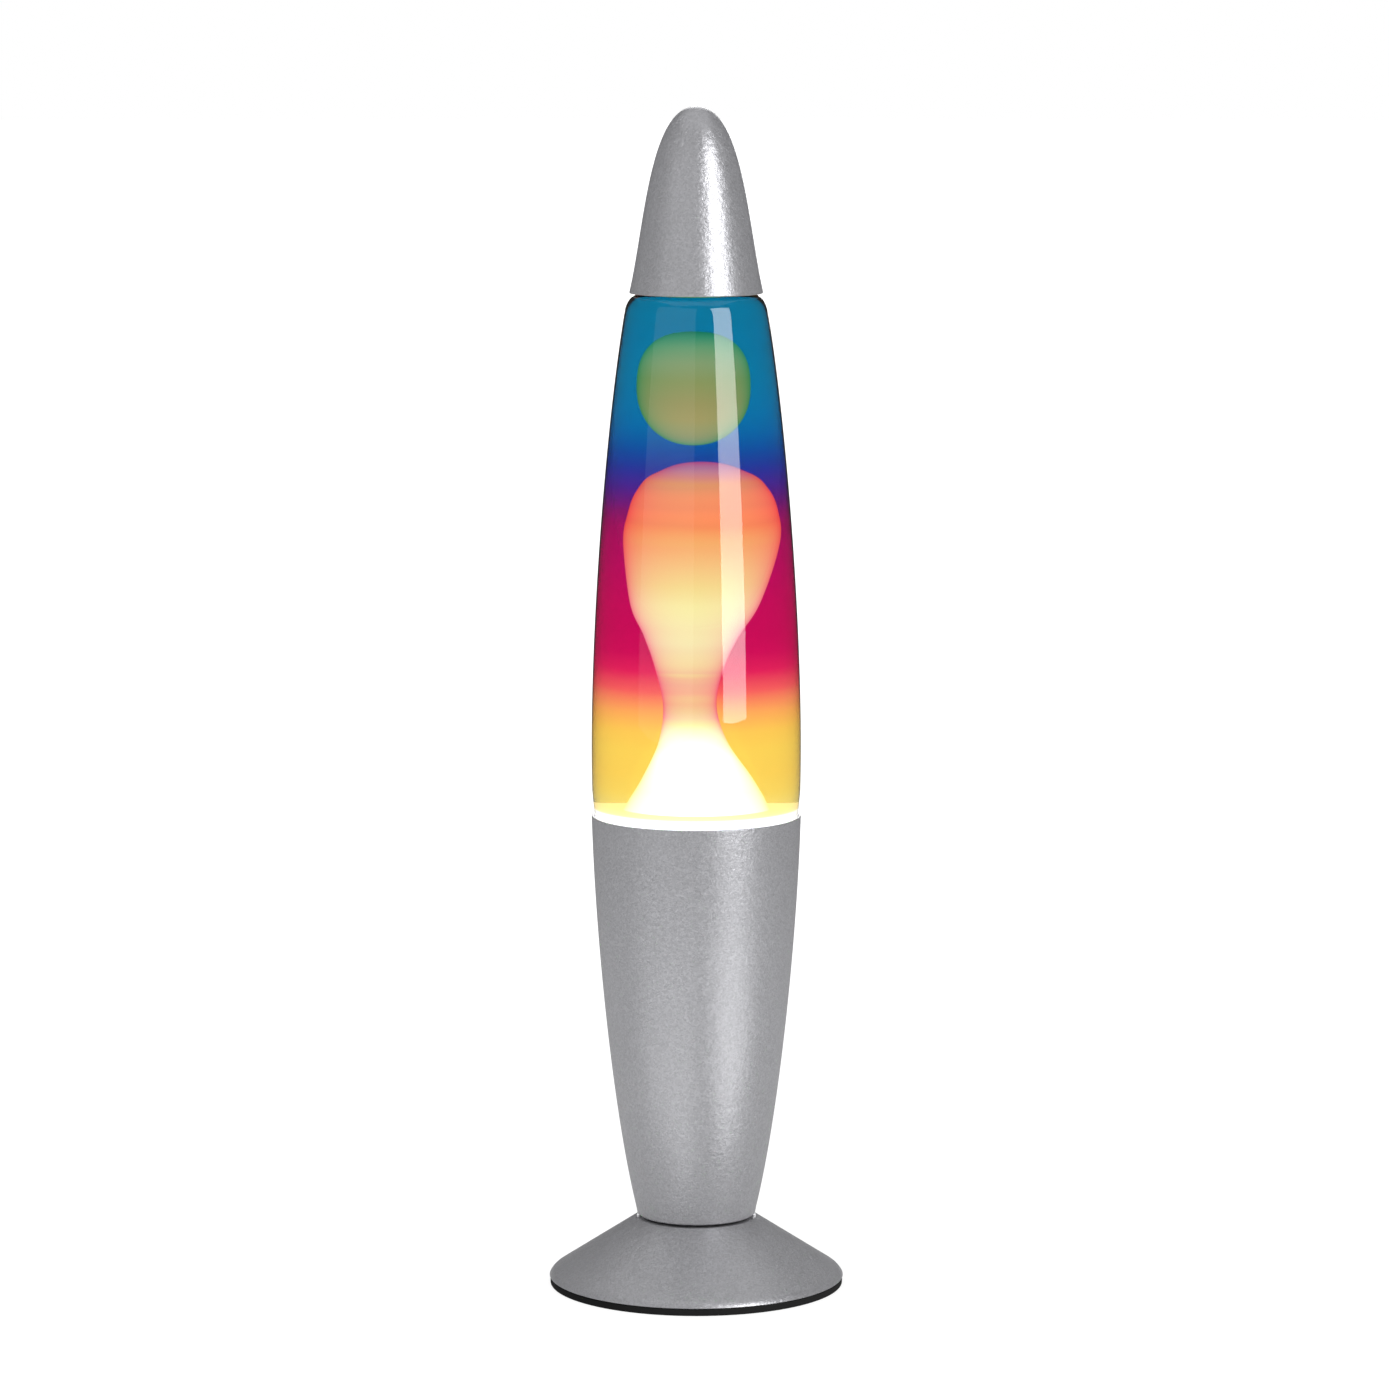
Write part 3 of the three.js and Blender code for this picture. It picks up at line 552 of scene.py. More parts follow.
def height_share(tree, noise, wander, lowest, highest):
    """How far up a point is between two heights in mm, from 0 to 1, moved up and down by noise."""
    place = node(tree, "ShaderNodeTexCoord").outputs["Object"]
    waves = node(tree, "ShaderNodeTexNoise", {"Vector": place, **noise})
    lift = node(tree, "ShaderNodeMapRange", span(waves.outputs[0], 0, 1, -wander, wander))
    parts = node(tree, "ShaderNodeSeparateXYZ", {"Vector": place})
    moved = {0: parts.outputs["Z"], 1: lift.outputs[0]}
    height = node(tree, "ShaderNodeMath", moved, operation="ADD").outputs[0]
    return node(tree, "ShaderNodeMapRange", span(height, lowest * MM, highest * MM)).outputs[0]


def liquid_tint():
    """Dyed water and glycol in bands that drift into each other: clear as glass, with the
    colour falling from teal through violet and magenta to amber. The light is bent at the
    bottle's wetted face, so the liquid's own skin only tints it."""
    made, tree = material("dyed_water_clear")
    lowest, highest = TINTS[0][0], TINTS[-1][0]
    drift = {"Scale": per_mm(60), "Detail": 2}
    share = height_share(tree, drift, LIQUID_DRIFT, lowest, highest)
    bands = node(
        tree,
        "ShaderNodeValToRGB",
        {"Fac": share},
        stops=[((z - lowest) / (highest - lowest), linear(c)) for z, c in TINTS],
    )
    surface(
        tree,
        {
            "Base Color": bands.outputs[0],
            "Roughness": 0.0,
            "IOR": 1.001,
            "Transmission Weight": 1.0,
        },
    )
    return made


def tint_at(z):
    """The liquid's tint at a height in mm, between the bands of TINTS."""
    below = max((i for i, (at, _) in enumerate(TINTS[:-1]) if at <= z), default=0)
    (z0, c0), (z1, c1) = TINTS[below], TINTS[below + 1]
    share = min(max((z - z0) / (z1 - z0), 0), 1)
    return [a + (b - a) * share for a, b in zip(linear(c0), linear(c1))]


def leaves_above(z):
    """How far above a point of the wax, in mm, the eye's ray leaves the liquid."""
    return 2.9 if z < 215 else 2.0 if z < 235 else 1.2


def wax_glow(seen, rim, lit, strength):
    """Ramp stops of the painted glow, in place of the bulb's light in the wax, that shows the wax's
    colours through its painted rim shade and one side of the tinted liquid."""
    lowest, highest = seen[0][0], seen[-1][0]
    stops = []
    for z, code, boost in seen:
        # The coat tint of the painted rim shade at this height.
        skin = linear(lit if z <= RIM_SHADE_CREAM else rim)
        tint = tint_at(z + leaves_above(z))
        rgb = zip(linear(code), tint, skin)
        glow = [min(c * boost / math.sqrt(t) / k / strength, 1) for c, t, k in rgb]
        stops.append(((z - lowest) / (highest - lowest), glow))
    return stops


def glowing_wax(name, seen, rim, strength, body, lit="#fff4d0"):
    """Paraffin with a painted glow: emission in place of the bulb's light through it, even, no gloss.
    A tinted coat of low index paints deeper, darker shade at its rims, where the eye grazes it. The
    glow is what it has to be for the colour that shows through one side of the tinted liquid."""
    made, tree = material(name)
    lowest, highest = seen[0][0], seen[-1][0]
    swirl = {"Scale": per_mm(22), "Detail": 3, "Roughness": 0.55}
    share = height_share(tree, swirl, WAX_SWIRL, lowest, highest)
    glow = wax_glow(seen, rim, lit, strength)
    # The emission is a painted glow in place of the bulb's light through the wax.
    ramp = node(tree, "ShaderNodeValToRGB", {"Fac": share}, stops=glow)
    # Coat tint by height: the painted rim shade.
    skin = node(
        tree,
        "ShaderNodeValToRGB",
        {"Fac": share},
        stops=[
            (max((RIM_SHADE_CREAM - lowest) / (highest - lowest), 0), linear(lit)),
            (max((RIM_SHADE_FULL - lowest) / (highest - lowest), 0.01), linear(rim)),
        ],
    )
    surface(
        tree,
        {
            "Base Color": (*linear(body), 1),
            "Roughness": 0.6,
            "Specular IOR Level": 0.0,
            "Emission Color": ramp.outputs[0],
            "Emission Strength": strength,
            "Coat Weight": 1.0,
            "Coat Roughness": 0.3,
            "Coat IOR": 1.04,
            "Coat Tint": skin.outputs[0],
        },
    )
    return made


def bulb_envelope():
    """Blown bulb glass, aluminised inside up to its widest part and frosted over the front, with
    the filament's warm light behind it."""
    made, tree = material("bulb_glass_frosted")
    place = node(tree, "ShaderNodeTexCoord").outputs["Object"]
    parts = node(tree, "ShaderNodeSeparateXYZ", {"Vector": place})
    front = (BULB + 55.5) * MM
    ahead = span(parts.outputs["Z"], front, front + 0.001)
    face = node(tree, "ShaderNodeMapRange", ahead).outputs[0]
    frost = {"Vector": place, "Scale": per_mm(0.8), "Detail": 2}
    pits = node(tree, "ShaderNodeTexNoise", frost).outputs[0]
    skin = [(0, linear("#c9c9c8")), (1, linear("#f7f3ea"))]
    shade = node(tree, "ShaderNodeValToRGB", {"Fac": face}, stops=skin)
    light = [(0, (0, 0, 0)), (1, linear("#ffd9a0"))]
    glow = node(tree, "ShaderNodeValToRGB", {"Fac": face}, stops=light)
    metal = node(tree, "ShaderNodeMapRange", span(face, 0, 1, 0.9, 0.0))
    rough = node(tree, "ShaderNodeMapRange", span(face, 0, 1, 0.12, 0.55))
    bump = node(tree, "ShaderNodeBump", {"Strength": 0.2, "Distance": 0.00003, "Height": pits})
    surface(
        tree,
        {
            "Base Color": shade.outputs[0],
            "Metallic": metal.outputs[0],
            "Roughness": rough.outputs[0],
            "Normal": bump.outputs[0],
            "Emission Color": glow.outputs[0],
            "Emission Strength": 2.0,
        },
    )
    return made


def finishes():
    """Every material by its slot, made once."""
    found = bpy.context.scene.get("lamp_finishes")
    if found:
        return {slot: bpy.data.materials[name] for slot, name in found.items()}
    colours = bpy.context.scene.lamp_colours
    made = {
        "flake_silver": silver_lacquer(),
        # Zinc plate on pressed steel: bluish grey, half dull, with faint rolling marks.
        "zinc_steel": plated("zinc_plated_steel_pressed", "#b9bcc0", 0.34),
        # Turned brass: warm yellow metal with fine tool marks.
        "brass": plated("brass_turned", "#c8a253", 0.28),
        # Glass-filled nylon from a spark-eroded mould: near black with a satin pebble.
        "black_moulding": moulded("nylon_black_moulded", colours.moulding, 0.42),
        # Closed-cell EVA foam, skived: dull black with open pores.
        "foam_black": moulded("eva_foam_skived", colours.pad, 0.88, 0.35, 0.12, 1.45, 0.35),
        # Silicone rubber, compression moulded: dark, soft sheen.
        "silicone_dark": moulded("silicone_rubber_moulded", linear("#242427"), 0.6, 0.7, 0.02, 1.41),
        # Unglazed steatite: matt off-white ceramic with a fine tooth.
        "steatite": moulded("steatite_pressed", linear("#dcd7c8"), 0.62, 0.4, 0.02, 1.6, 0.1),
        "bottle_glass": blown_glass("soda_lime_glass_blown", 1.5),
        "wetted": blown_glass("soda_lime_glass_wetted", 1.5 / 1.33),
        "bulb_glass": bulb_envelope(),
        "liquid": liquid_tint(),
        # Paraffin with a painted glow and a painted rim shade: the standing wax, then the loose blob.
        "wax_warm": glowing_wax("paraffin_painted_glow_warm", WARM, "#ffc4ea", 48.0, "#20160c"),
        "wax_green": glowing_wax("paraffin_painted_glow_green", GREEN, "#b4f0f0", 40.0, "#18180c"),
        # Lacquered tinplate, drawn and crimped: golden, bright, lightly scuffed.
        "tinplate_gold": plated("tinplate_gold_lacquered", "#c9a24a", 0.26),
        # Expanded polyethylene wad: matt cream.
        "liner_white": moulded("polyethylene_foam_cut", linear("#e6e2d6"), 0.7, 0.5, 0.03, 1.5, 0.08),
        # Nickel-plated brass, rolled thread: pale bright metal.
        "bulb_cap_metal": plated("nickel_plated_brass_rolled", "#c4c2bb", 0.25),
        # Cast tin solder: soft grey with a rippled skin.
        "solder": plated("tin_solder_cast", "#9c9c9a", 0.45, (1, 1, 1)),
        # Drawn tungsten wire: dark steel grey.
        "tungsten": plated("tungsten_drawn", "#86837c", 0.4, (6, 1, 1)),
        # Extruded PVC sleeves in the mains colours: smooth, faintly waxy.
        "sleeve_brown": moulded("pvc_sleeve_brown", linear("#5a3420"), 0.4, 1.2, 0.01),
        "sleeve_blue": moulded("pvc_sleeve_blue", linear("#2a5fa6"), 0.4, 1.2, 0.01),
        "sleeve_green": moulded("pvc_sleeve_green", linear("#4f8a2c"), 0.4, 1.2, 0.01),
        # Natural nylon, injection moulded: milky and slightly glossy.
        "block_nylon": moulded("nylon_natural_moulded", linear("#e4e0d2"), 0.4, 0.9, 0.02, 1.53, 0.08),
    }
    bpy.context.scene["lamp_finishes"] = {slot: m.name for slot, m in made.items()}
    return made


def repaint(slot, *names):
    """Gives frame nodes whose shape stays their real finish."""
    finish = finishes()[slot]
    for name in names:
        held = NODES[name].data.materials
        held.clear()
        held.append(finish)


# ---- stage ----
CAMERA_AT = (-0.0006, -1.8426, 0.44767)
CAMERA_DOWN = 7.58
FLOOR_RADIUS = 14
def panel(name, azimuth, elevation, distance, width, height, radiance, aim=(0, 0, 0.2)):
    """A soft box at an azimuth to the right of the camera, facing the lamp. It shows in glosses
    only: the even light on matt surfaces is the white room's."""
    light = bpy.data.lights.new(name, "AREA")
    light.shape = "RECTANGLE"
    light.size, light.size_y = width, height
    light.energy = radiance * math.pi * width * height
    made = bpy.data.objects.new(name, light)
    bpy.context.scene.collection.objects.link(made)
    a, e = math.radians(azimuth), math.radians(elevation)
    away = Vector((math.sin(a) * math.cos(e), -math.cos(a) * math.cos(e), math.sin(e)))
    made.location = Vector(aim) + away * distance
    made.rotation_euler = away.to_track_quat("Z", "Y").to_euler()
    made.visible_camera = False
    made.visible_diffuse = False
    made.visible_transmission = False
    return made


def reflected(tree):
    """1 where the studio is seen in any gloss, and 0 where it is seen directly or through glass."""
    path = node(tree, "ShaderNodeLightPath")
    return node(
        tree,
        "ShaderNodeMath",
        {0: path.outputs["Glossy Depth"], 1: 1.0},
        operation="MINIMUM",
    ).outputs[0]


class LAMP_OT_stage(bpy.types.Operator):
    """Sets the camera, the studio lights and the floor"""

    bl_idname = "lamp.stage"
    bl_label = "Stage"

    def execute(self, context):
        scene, studio = context.scene, context.scene.lamp_studio
        camera = bpy.data.cameras.new("camera")
        camera.sensor_width = 36
        camera.lens = studio.lens
        camera.clip_start, camera.clip_end = 0.05, 60
        held = bpy.data.objects.new("camera", camera)
        scene.collection.objects.link(held)
        held.location = CAMERA_AT
        held.rotation_euler = (math.radians(90 - CAMERA_DOWN), 0, 0)
        scene.camera = held

        world = bpy.data.worlds.new("studio")
        world.use_nodes = True
        scene.world = world
        tree = world.node_tree
        tree.nodes.clear()
        level = node(tree, "ShaderNodeMapRange", span(reflected(tree), 0, 1, 1.0, studio.room))
        white = {"Color": (1, 1, 1, 1), "Strength": level.outputs[0]}
        back = node(tree, "ShaderNodeBackground", white)
        node(tree, "ShaderNodeOutputWorld", {"Surface": back.outputs[0]})

        # Azimuth and elevation in degrees, distance, width and height in metres.
        panel("strip_box", 42.6, 18, 1.25, 0.64, 1.1, studio.strip)
        panel("left_panel", -35, 12, 1.5, 1.9, 1.9, studio.wall)
        panel("ceiling_panel", 0, 90, 1.9, 2.6, 2.6, studio.ceiling)
        panel("back_box", 178, 22, 1.5, 0.5, 1.1, studio.back)
        # Just over the floor, facing up: what a glossy floor would show of the strip and the wall.
        panel("strip_on_floor", 0, -90, 0.99, 0.2, 0.2, studio.floor_strip, (0.162, -0.177, 1.0))
        panel("wall_on_floor", 0, -90, 0.99, 0.26, 0.26, studio.floor_wall, (-0.13, -0.2, 1.0))

        bm = bmesh.new()
        bmesh.ops.create_circle(bm, cap_ends=True, segments=96, radius=FLOOR_RADIUS)
        floor_mesh = bpy.data.meshes.new("floor")
        bm.to_mesh(floor_mesh)
        bm.free()
        floor = bpy.data.objects.new("floor", floor_mesh)
        scene.collection.objects.link(floor)
        paper, tree = material("acrylic_white_lit_from_below")
        place = node(tree, "ShaderNodeTexCoord").outputs["Object"]
        away = node(tree, "ShaderNodeVectorMath", {0: place}, operation="LENGTH").outputs["Value"]
        seen = node(tree, "ShaderNodeMapRange", span(away, 0.15, 1.1, 0.8, 1.0))
        bounced = node(tree, "ShaderNodeMapRange", span(away, 0.3, 1.6, 0.42, 0.02))
        level = node(
            tree,
            "ShaderNodeMix",
            {"Factor": reflected(tree), "A": seen.outputs[0], "B": bounced.outputs[0]},
            data_type="FLOAT",
        )
        surface(
            tree,
            {
                "Base Color": (0.3, 0.3, 0.3, 1),
                "Roughness": 0.9,
                "Specular IOR Level": 0.0,
                "Emission Color": (1, 1, 1, 1),
                "Emission Strength": level.outputs[0],
            },
        )
        floor_mesh.materials.append(paper)

        scene.view_settings.view_transform = "Standard"
        scene.cycles.use_denoising = True
        return {"FINISHED"}


# ---- pieces ----
class LAMP_OT_cap(bpy.types.Operator):
    """Spins the bullet-shaped cap and the soft ring inside its rim"""

    bl_idname = "lamp.cap"
    bl_label = "Cap"

    def execute(self, context):
        sizes = context.scene.lamp_sizes
        rim, tip = (22.45, CAP_FOOT), (0, CAP_TIP)
        bm = turned(bow(rim, (17.15, CAP_FOOT + 22.6), (15.7, CAP_TIP), tip, 60), sizes.sides)
        face_out(bm)
        cap = piece("cap_shell", bm, "cap", "flake_silver", ["nose_cap"])
        walled(cap, 1 * MM, sizes.rim_round)
        foot, top = low("cap_ring"), high("cap_ring")
        inner, outer = 16.8, 19.75
        lips = (
            [(inner + 0.5, foot), (outer - 0.6, foot), (outer - 0.1, foot + 0.5)]
            + [(outer - 0.35, foot + 1.6), (outer - 0.75, foot + 2.2), (outer - 0.45, foot + 3.0)]
            + [(outer - 0.6, top - 0.4), (outer - 1.1, top), (inner + 0.5, top), (inner, top - 0.5)]
            + [(inner, foot + 0.5)]
        )
        ring = turned(lips, sizes.sides, closed=True)
        piece("cap_soft_ring", ring, "cap", "silicone_dark", ["cap_ring"])
        return {"FINISHED"}


def wetted(face):
    """Whether a face of the bottle is on its inside and below the liquid's top."""
    centre, normal = face.calc_center_median(), face.normal
    z = centre.z / MM
    inwards = normal.x * centre.x + normal.y * centre.y < -0.02 * centre.xy.length
    floor = z < BASE + 12 and normal.z > 0.3
    shoulder = z > SHOULDER - 12 and normal.z < -0.1
    return BASE + 2 < z < LIQUID_TOP and (inwards or floor or shoulder)


class LAMP_OT_bottle(bpy.types.Operator):
    """Blows the glass bottle with its base, shoulder, neck and beaded mouth"""

    bl_idname = "lamp.bottle"
    bl_label = "Bottle"

    def execute(self, context):
        bend, neck, bead, bore = (16.2, SHOULDER), NECK_RADIUS, NECK_RADIUS + 0.7, NECK_BORE
        outside = (
            [(0, BASE + 1.4), (8, BASE + 1.25), (16, BASE + 0.75)]
            + bow((20, BASE + 0.3), (21.2, BASE + 0.1), (22, BASE), (24, BASE), 4)
            + bottle_skin()[1:]
            + bow(bend, (14.2, SHOULDER), (neck, SHOULDER + 0.8), (neck, SHOULDER + 3), 6)
            + [(neck, MOUTH - 5.8)]
            + bow((neck, MOUTH - 5.4), (neck, MOUTH - 5), (bead, MOUTH - 5), (bead, MOUTH - 4.2), 4)
            + bow((bead, MOUTH - 1.6), (bead, MOUTH - 0.4), (12.9, MOUTH), (12, MOUTH), 5)
            + bow((11, MOUTH), (10.4, MOUTH), (bore, MOUTH - 0.3), (bore, MOUTH - 1), 4)
            + [(bore, SHOULDER + 2), (bore + 0.1, SHOULDER)]
        )
        outline = outside + bottle_inside(0)[::-1] + bottle_floor(0, 20, 12, 6, 0)
        bm = turned(outline, context.scene.lamp_sizes.sides)
        bm.normal_update()
        for face in bm.faces:
            face.material_index = int(wetted(face))
        bottle = piece("bottle", bm, "bottle", "bottle_glass", ["bottle_glass"], 60)
        bottle.data.materials.append(finishes()["wetted"])
        bottle.visible_shadow = False
        return {"FINISHED"}


class LAMP_OT_liquid(bpy.types.Operator):
    """Fills the bottle with the clear coloured liquid up into its neck"""

    bl_idname = "lamp.liquid"
    bl_label = "Liquid"

    def execute(self, context):
        floor = bottle_floor(LIQUID_GAP, 0, 6, 12, 20)
        bore, level = NECK_BORE - LIQUID_GAP, LIQUID_TOP
        neck = [(bore + 0.1, SHOULDER), (bore, SHOULDER + 2), (bore, level)]
        top = bow((bore, level + 0.9), (9.6, level + 0.1), (8.5, level), (0, level), 8)
        outline = floor + bottle_inside(LIQUID_GAP) + neck + top
        bm = turned(outline, context.scene.lamp_sizes.sides)
        liquid = piece("coloured_liquid", bm, "bottle", "liquid", ["liquid"], 60)
        liquid.visible_shadow = False
        return {"FINISHED"}


class LAMP_OT_wax(bpy.types.Operator):
    """Pours the standing column of wax with its pool, and the loose blob above it"""

    bl_idname = "lamp.wax"
    bl_label = "Wax"

    def execute(self, context):
        height = COLUMN_TOP - POOL
        floor = bottle_floor(WAX_GAP, 0, 12, 20)
        wall = bottle_inside(WAX_GAP)
        side = [(r, z) for r, z in wall if BASE + 4 < z < POOL - 1]
        (r0, z0), (r1, z1) = side[-1], wall[wall.index(side[-1]) + 1]
        edge = r0 + (r1 - r0) * (POOL - 1 - z0) / (z1 - z0)
        rim, flat = (edge, POOL - 1), (edge - 4, POOL - 0.2)
        pool = bow(rim, (edge, POOL - 0.5), (edge - 1, POOL - 0.25), flat, 4)
        shares = [(r, POOL + share * height) for share, r in COLUMN]
        outline = floor + side + pool + smoothed(shares)
        bm = turned(outline, context.scene.lamp_sizes.sides)
        for vert in bm.verts:
            share = min(max((vert.co.z / MM - POOL) / height, 0), 1)
            sway = math.sin(2 * math.pi * (share - 0.62)) * min(1, 8 * share)
            vert.co.x += COLUMN_SWAY * MM * sway
        column = piece("wax_standing", bm, "bottle", "wax_warm", ["wax_column"], 60)
        bm = bmesh.new()
        bmesh.ops.create_uvsphere(bm, u_segments=96, v_segments=64, radius=1)
        for vert in bm.verts:
            full = BLOB_FULLNESS["above" if vert.co.z > 0 else "below"]
            vert.co /= (vert.co.xy.length**full + abs(vert.co.z) ** full) ** (1 / full)
        bmesh.ops.scale(bm, vec=Vector(BLOB_RADII) * MM, verts=bm.verts)
        centre = Vector(BLOB_SHIFT) + Vector((0, 0, BALL))
        bmesh.ops.translate(bm, vec=centre * MM, verts=bm.verts)
        ball = piece("wax_blob", bm, "wax_blob", "wax_green", ["wax_ball"], 80)
        for wax in (column, ball):
            wax.visible_diffuse = False
            wax.visible_shadow = False
        return {"FINISHED"}


class LAMP_OT_closure(bpy.types.Operator):
    """Crimps the fluted crown closure over the bottle's mouth"""

    bl_idname = "lamp.closure"
    bl_label = "Crown closure"

    def execute(self, context):
        sizes = context.scene.lamp_sizes
        top, foot = high("crown_closure"), low("crown_closure")
        outline = (
            [(0, top - 0.25), (6, top - 0.25)]
            + bow((9, top - 0.25), (9.6, top - 0.2), (9.8, top), (10.6, top), 4)
            + bow((12.2, top), (13.6, top), (14.3, top - 0.5), (14.6, top - 1.2), 6)
            + bow((14.7, top - 1.6), (14.9, top - 3), (15.2, foot + 1.4), (15.7, foot), 10)
        )
        bm = turned(outline, sizes.flutes * 8)
        for vert in bm.verts:
            depth = min(max((top - 1.0 - vert.co.z / MM) / 4.6, 0), 1)
            angle = math.atan2(vert.co.y, vert.co.x)
            swell = 1 + FLUTE_SWELL * depth * math.cos(sizes.flutes * angle)
            vert.co.x *= swell
            vert.co.y *= swell
        face_out(bm)
        crown = piece("crown_fluted", bm, "bottle", "tinplate_gold", ["crown_closure"], 70)
        walled(crown, 0.32 * MM, 0.08 * MM)
        return {"FINISHED"}


class LAMP_OT_cup(bpy.types.Operator):
    """Spins the tapered cup and fits the soft seat that the bottle stands in"""

    bl_idname = "lamp.cup"
    bl_label = "Cup and seat"

    def execute(self, context):
        sizes = context.scene.lamp_sizes
        heel = (20.3, CUP_FOOT + 1.1)
        outline = (
            [(TUBE_HOLE, CUP_FOOT), (12, CUP_FOOT), (18, CUP_FOOT)]
            + [(18.4, CUP_FOOT - 0.5), (19.1, CUP_FOOT - 0.6)]
            + sweep(19.3, CUP_FOOT + 0.3, 0.9, -80, -10, 5)
            + bow(heel, (28.4, CUP_FOOT + 34.5), (34.3, CUP_RIM - 41), (35.4, CUP_RIM), 90)[1:]
        )
        bm = turned(outline, sizes.sides)
        face_out(bm)
        cup = piece("cup_shell", bm, "base", "flake_silver", ["cup"])
        walled(cup, 0.8 * MM, sizes.rim_round)

        foot, top = low("bottle_seat"), high("bottle_seat")
        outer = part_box("bottle_seat")[1].x / MM
        ledge = top - 6
        seat = (
            [(20.5, foot), (outer - 0.3, foot), (outer, foot + 0.3), (outer, top - 0.4)]
            + [(outer - 0.4, top), (outer - 0.9, top), (outer - 1.2, top - 0.3)]
            + [(outer - 1.2, ledge + 4.6), (outer - 1.5, ledge + 3.7), (outer - 5.2, ledge + 0.3)]
            + [(outer - 5.9, ledge), (20.4, ledge), (20, ledge - 0.4), (20, foot + 0.4)]
        )
        bm = turned(seat, sizes.sides, closed=True)
        piece("seat_soft_ring", bm, "base", "silicone_dark", ["bottle_seat"])
        return {"FINISHED"}


class LAMP_OT_foot(bpy.types.Operator):
    """Spins the conical foot with the cord's hole, and cuts its foam pad and spacer"""

    bl_idname = "lamp.foot"
    bl_label = "Foot"

    def execute(self, context):
        sizes = context.scene.lamp_sizes
        start = math.degrees(math.asin((FOOT_EDGE - RIM_Z) / RIM_ROUND))
        top_r, top_z = 20.6, FOOT_TOP - 0.2
        across, up = top_r - RIM_RADIUS, top_z - RIM_Z
        touch = math.degrees(math.atan2(up, across) - math.acos(RIM_ROUND / math.hypot(across, up)))
        arc = sweep(RIM_RADIUS, RIM_Z, RIM_ROUND, start, touch, 14)
        flank = [
            (arc[-1][0] + (top_r - arc[-1][0]) * i / 24, arc[-1][1] + (top_z - arc[-1][1]) * i / 24)
            for i in range(1, 24)
        ]
        level = [(r, FOOT_TOP) for r in (top_r - 0.25, top_r - 0.5, 19.4, 17, 12, TUBE_HOLE)]
        top = bow((top_r, top_z), *level[:3], 4)
        outline = arc + flank + top + level[3:]
        bm = turned(outline, sizes.sides)
        face_out(bm)
        bore(bm, GLAND_Z, 5.3, arc[-1], (top_r, top_z))
        foot = piece("foot_shell", bm, "base", "flake_silver", ["foot_cone"])
        walled(foot, 1.2 * MM, sizes.rim_round)

        holes = [(x, 4.6) for x in (-23, 23)]
        bm = sheet("pad_foam", FOOT_PAD_RADIUS, holes, low("foot_pad"), high("foot_pad"), 0.35)
        piece("pad_foam", bm, "base", "foam_black", ["foot_pad"], 50)
        # The spacer washer is a real part; black and set back in the gap between cup and foot, it also
        # stands for that gap's shade, a painted shadow line.
        z0, z1 = low("spacer_ring"), high("spacer_ring")
        side = [(17.3, z0), (17.5, z0 + 0.2), (17.5, z1 - 0.2), (17.3, z1)]
        bm = turned([(TUBE_HOLE, z0), *side, (TUBE_HOLE, z1)], sizes.sides, closed=True)
        piece("spacer_washer", bm, "base", "black_moulding", ["spacer_ring"])
        return {"FINISHED"}


def bore(bm, z, radius, touch, top):
    """Opens a round hole through the cone's back flank for the cord's gland."""
    slope = (touch[0] - top[0]) / (top[1] - touch[1])

    def away(vert):
        return math.hypot(vert.co.x / MM, vert.co.z / MM - z)

    behind = [f for f in bm.faces if f.calc_center_median().y > 0]
    inside = [f for f in behind if min(away(v) for v in f.verts) < radius]
    ring = {v for f in inside for v in f.verts if away(v) >= radius}
    bmesh.ops.delete(bm, geom=inside, context="FACES")
    for vert in ring:
        scale = radius / away(vert)
        x, up = vert.co.x / MM * scale, z + (vert.co.z / MM - z) * scale
        flank = top[0] + (top[1] - up) * slope
        if up < touch[1]:
            flank = RIM_RADIUS + math.sqrt(RIM_ROUND**2 - (up - RIM_Z) ** 2)
        vert.co = (x * MM, math.sqrt(flank**2 - x**2) * MM, up * MM)


def sheet(name, radius, holes, bottom, top, edge):
    """A round flat piece with round holes, from a filled flat curve with rounded edges."""
    curve = bpy.data.curves.new(name, "CURVE")
    curve.dimensions = "2D"
    curve.fill_mode = "BOTH"
    curve.resolution_u = 24
    for x, reach in [(0, radius - edge)] + [(x, r + edge) for x, r in holes]:
        spline = curve.splines.new("BEZIER")
        spline.bezier_points.add(3)
        for i, point in enumerate(spline.bezier_points):
            a = i * math.pi / 2
            bend = reach * 0.5523
            at = Vector((x + reach * math.cos(a), reach * math.sin(a), 0))
            turn = Vector((-math.sin(a), math.cos(a), 0)) * bend
            point.co = at * MM
            point.handle_left, point.handle_right = (at - turn) * MM, (at + turn) * MM
        spline.use_cyclic_u = True
    curve.extrude = ((top - bottom) / 2 - edge) * MM
    curve.bevel_depth = edge * MM
    curve.bevel_resolution = 2
    drawn = bpy.data.objects.new(name + "_curve", curve)
    bpy.context.scene.collection.objects.link(drawn)
    mesh = bpy.data.meshes.new_from_object(drawn)
    bpy.data.objects.remove(drawn)
    bm = bmesh.new()
    bm.from_mesh(mesh)
    bpy.data.meshes.remove(mesh)
    bmesh.ops.remove_doubles(bm, verts=bm.verts, dist=1e-6)
    bmesh.ops.recalc_face_normals(bm, faces=bm.faces)
    bmesh.ops.translate(bm, vec=(0, 0, (bottom + top) / 2 * MM), verts=bm.verts)
    return bm


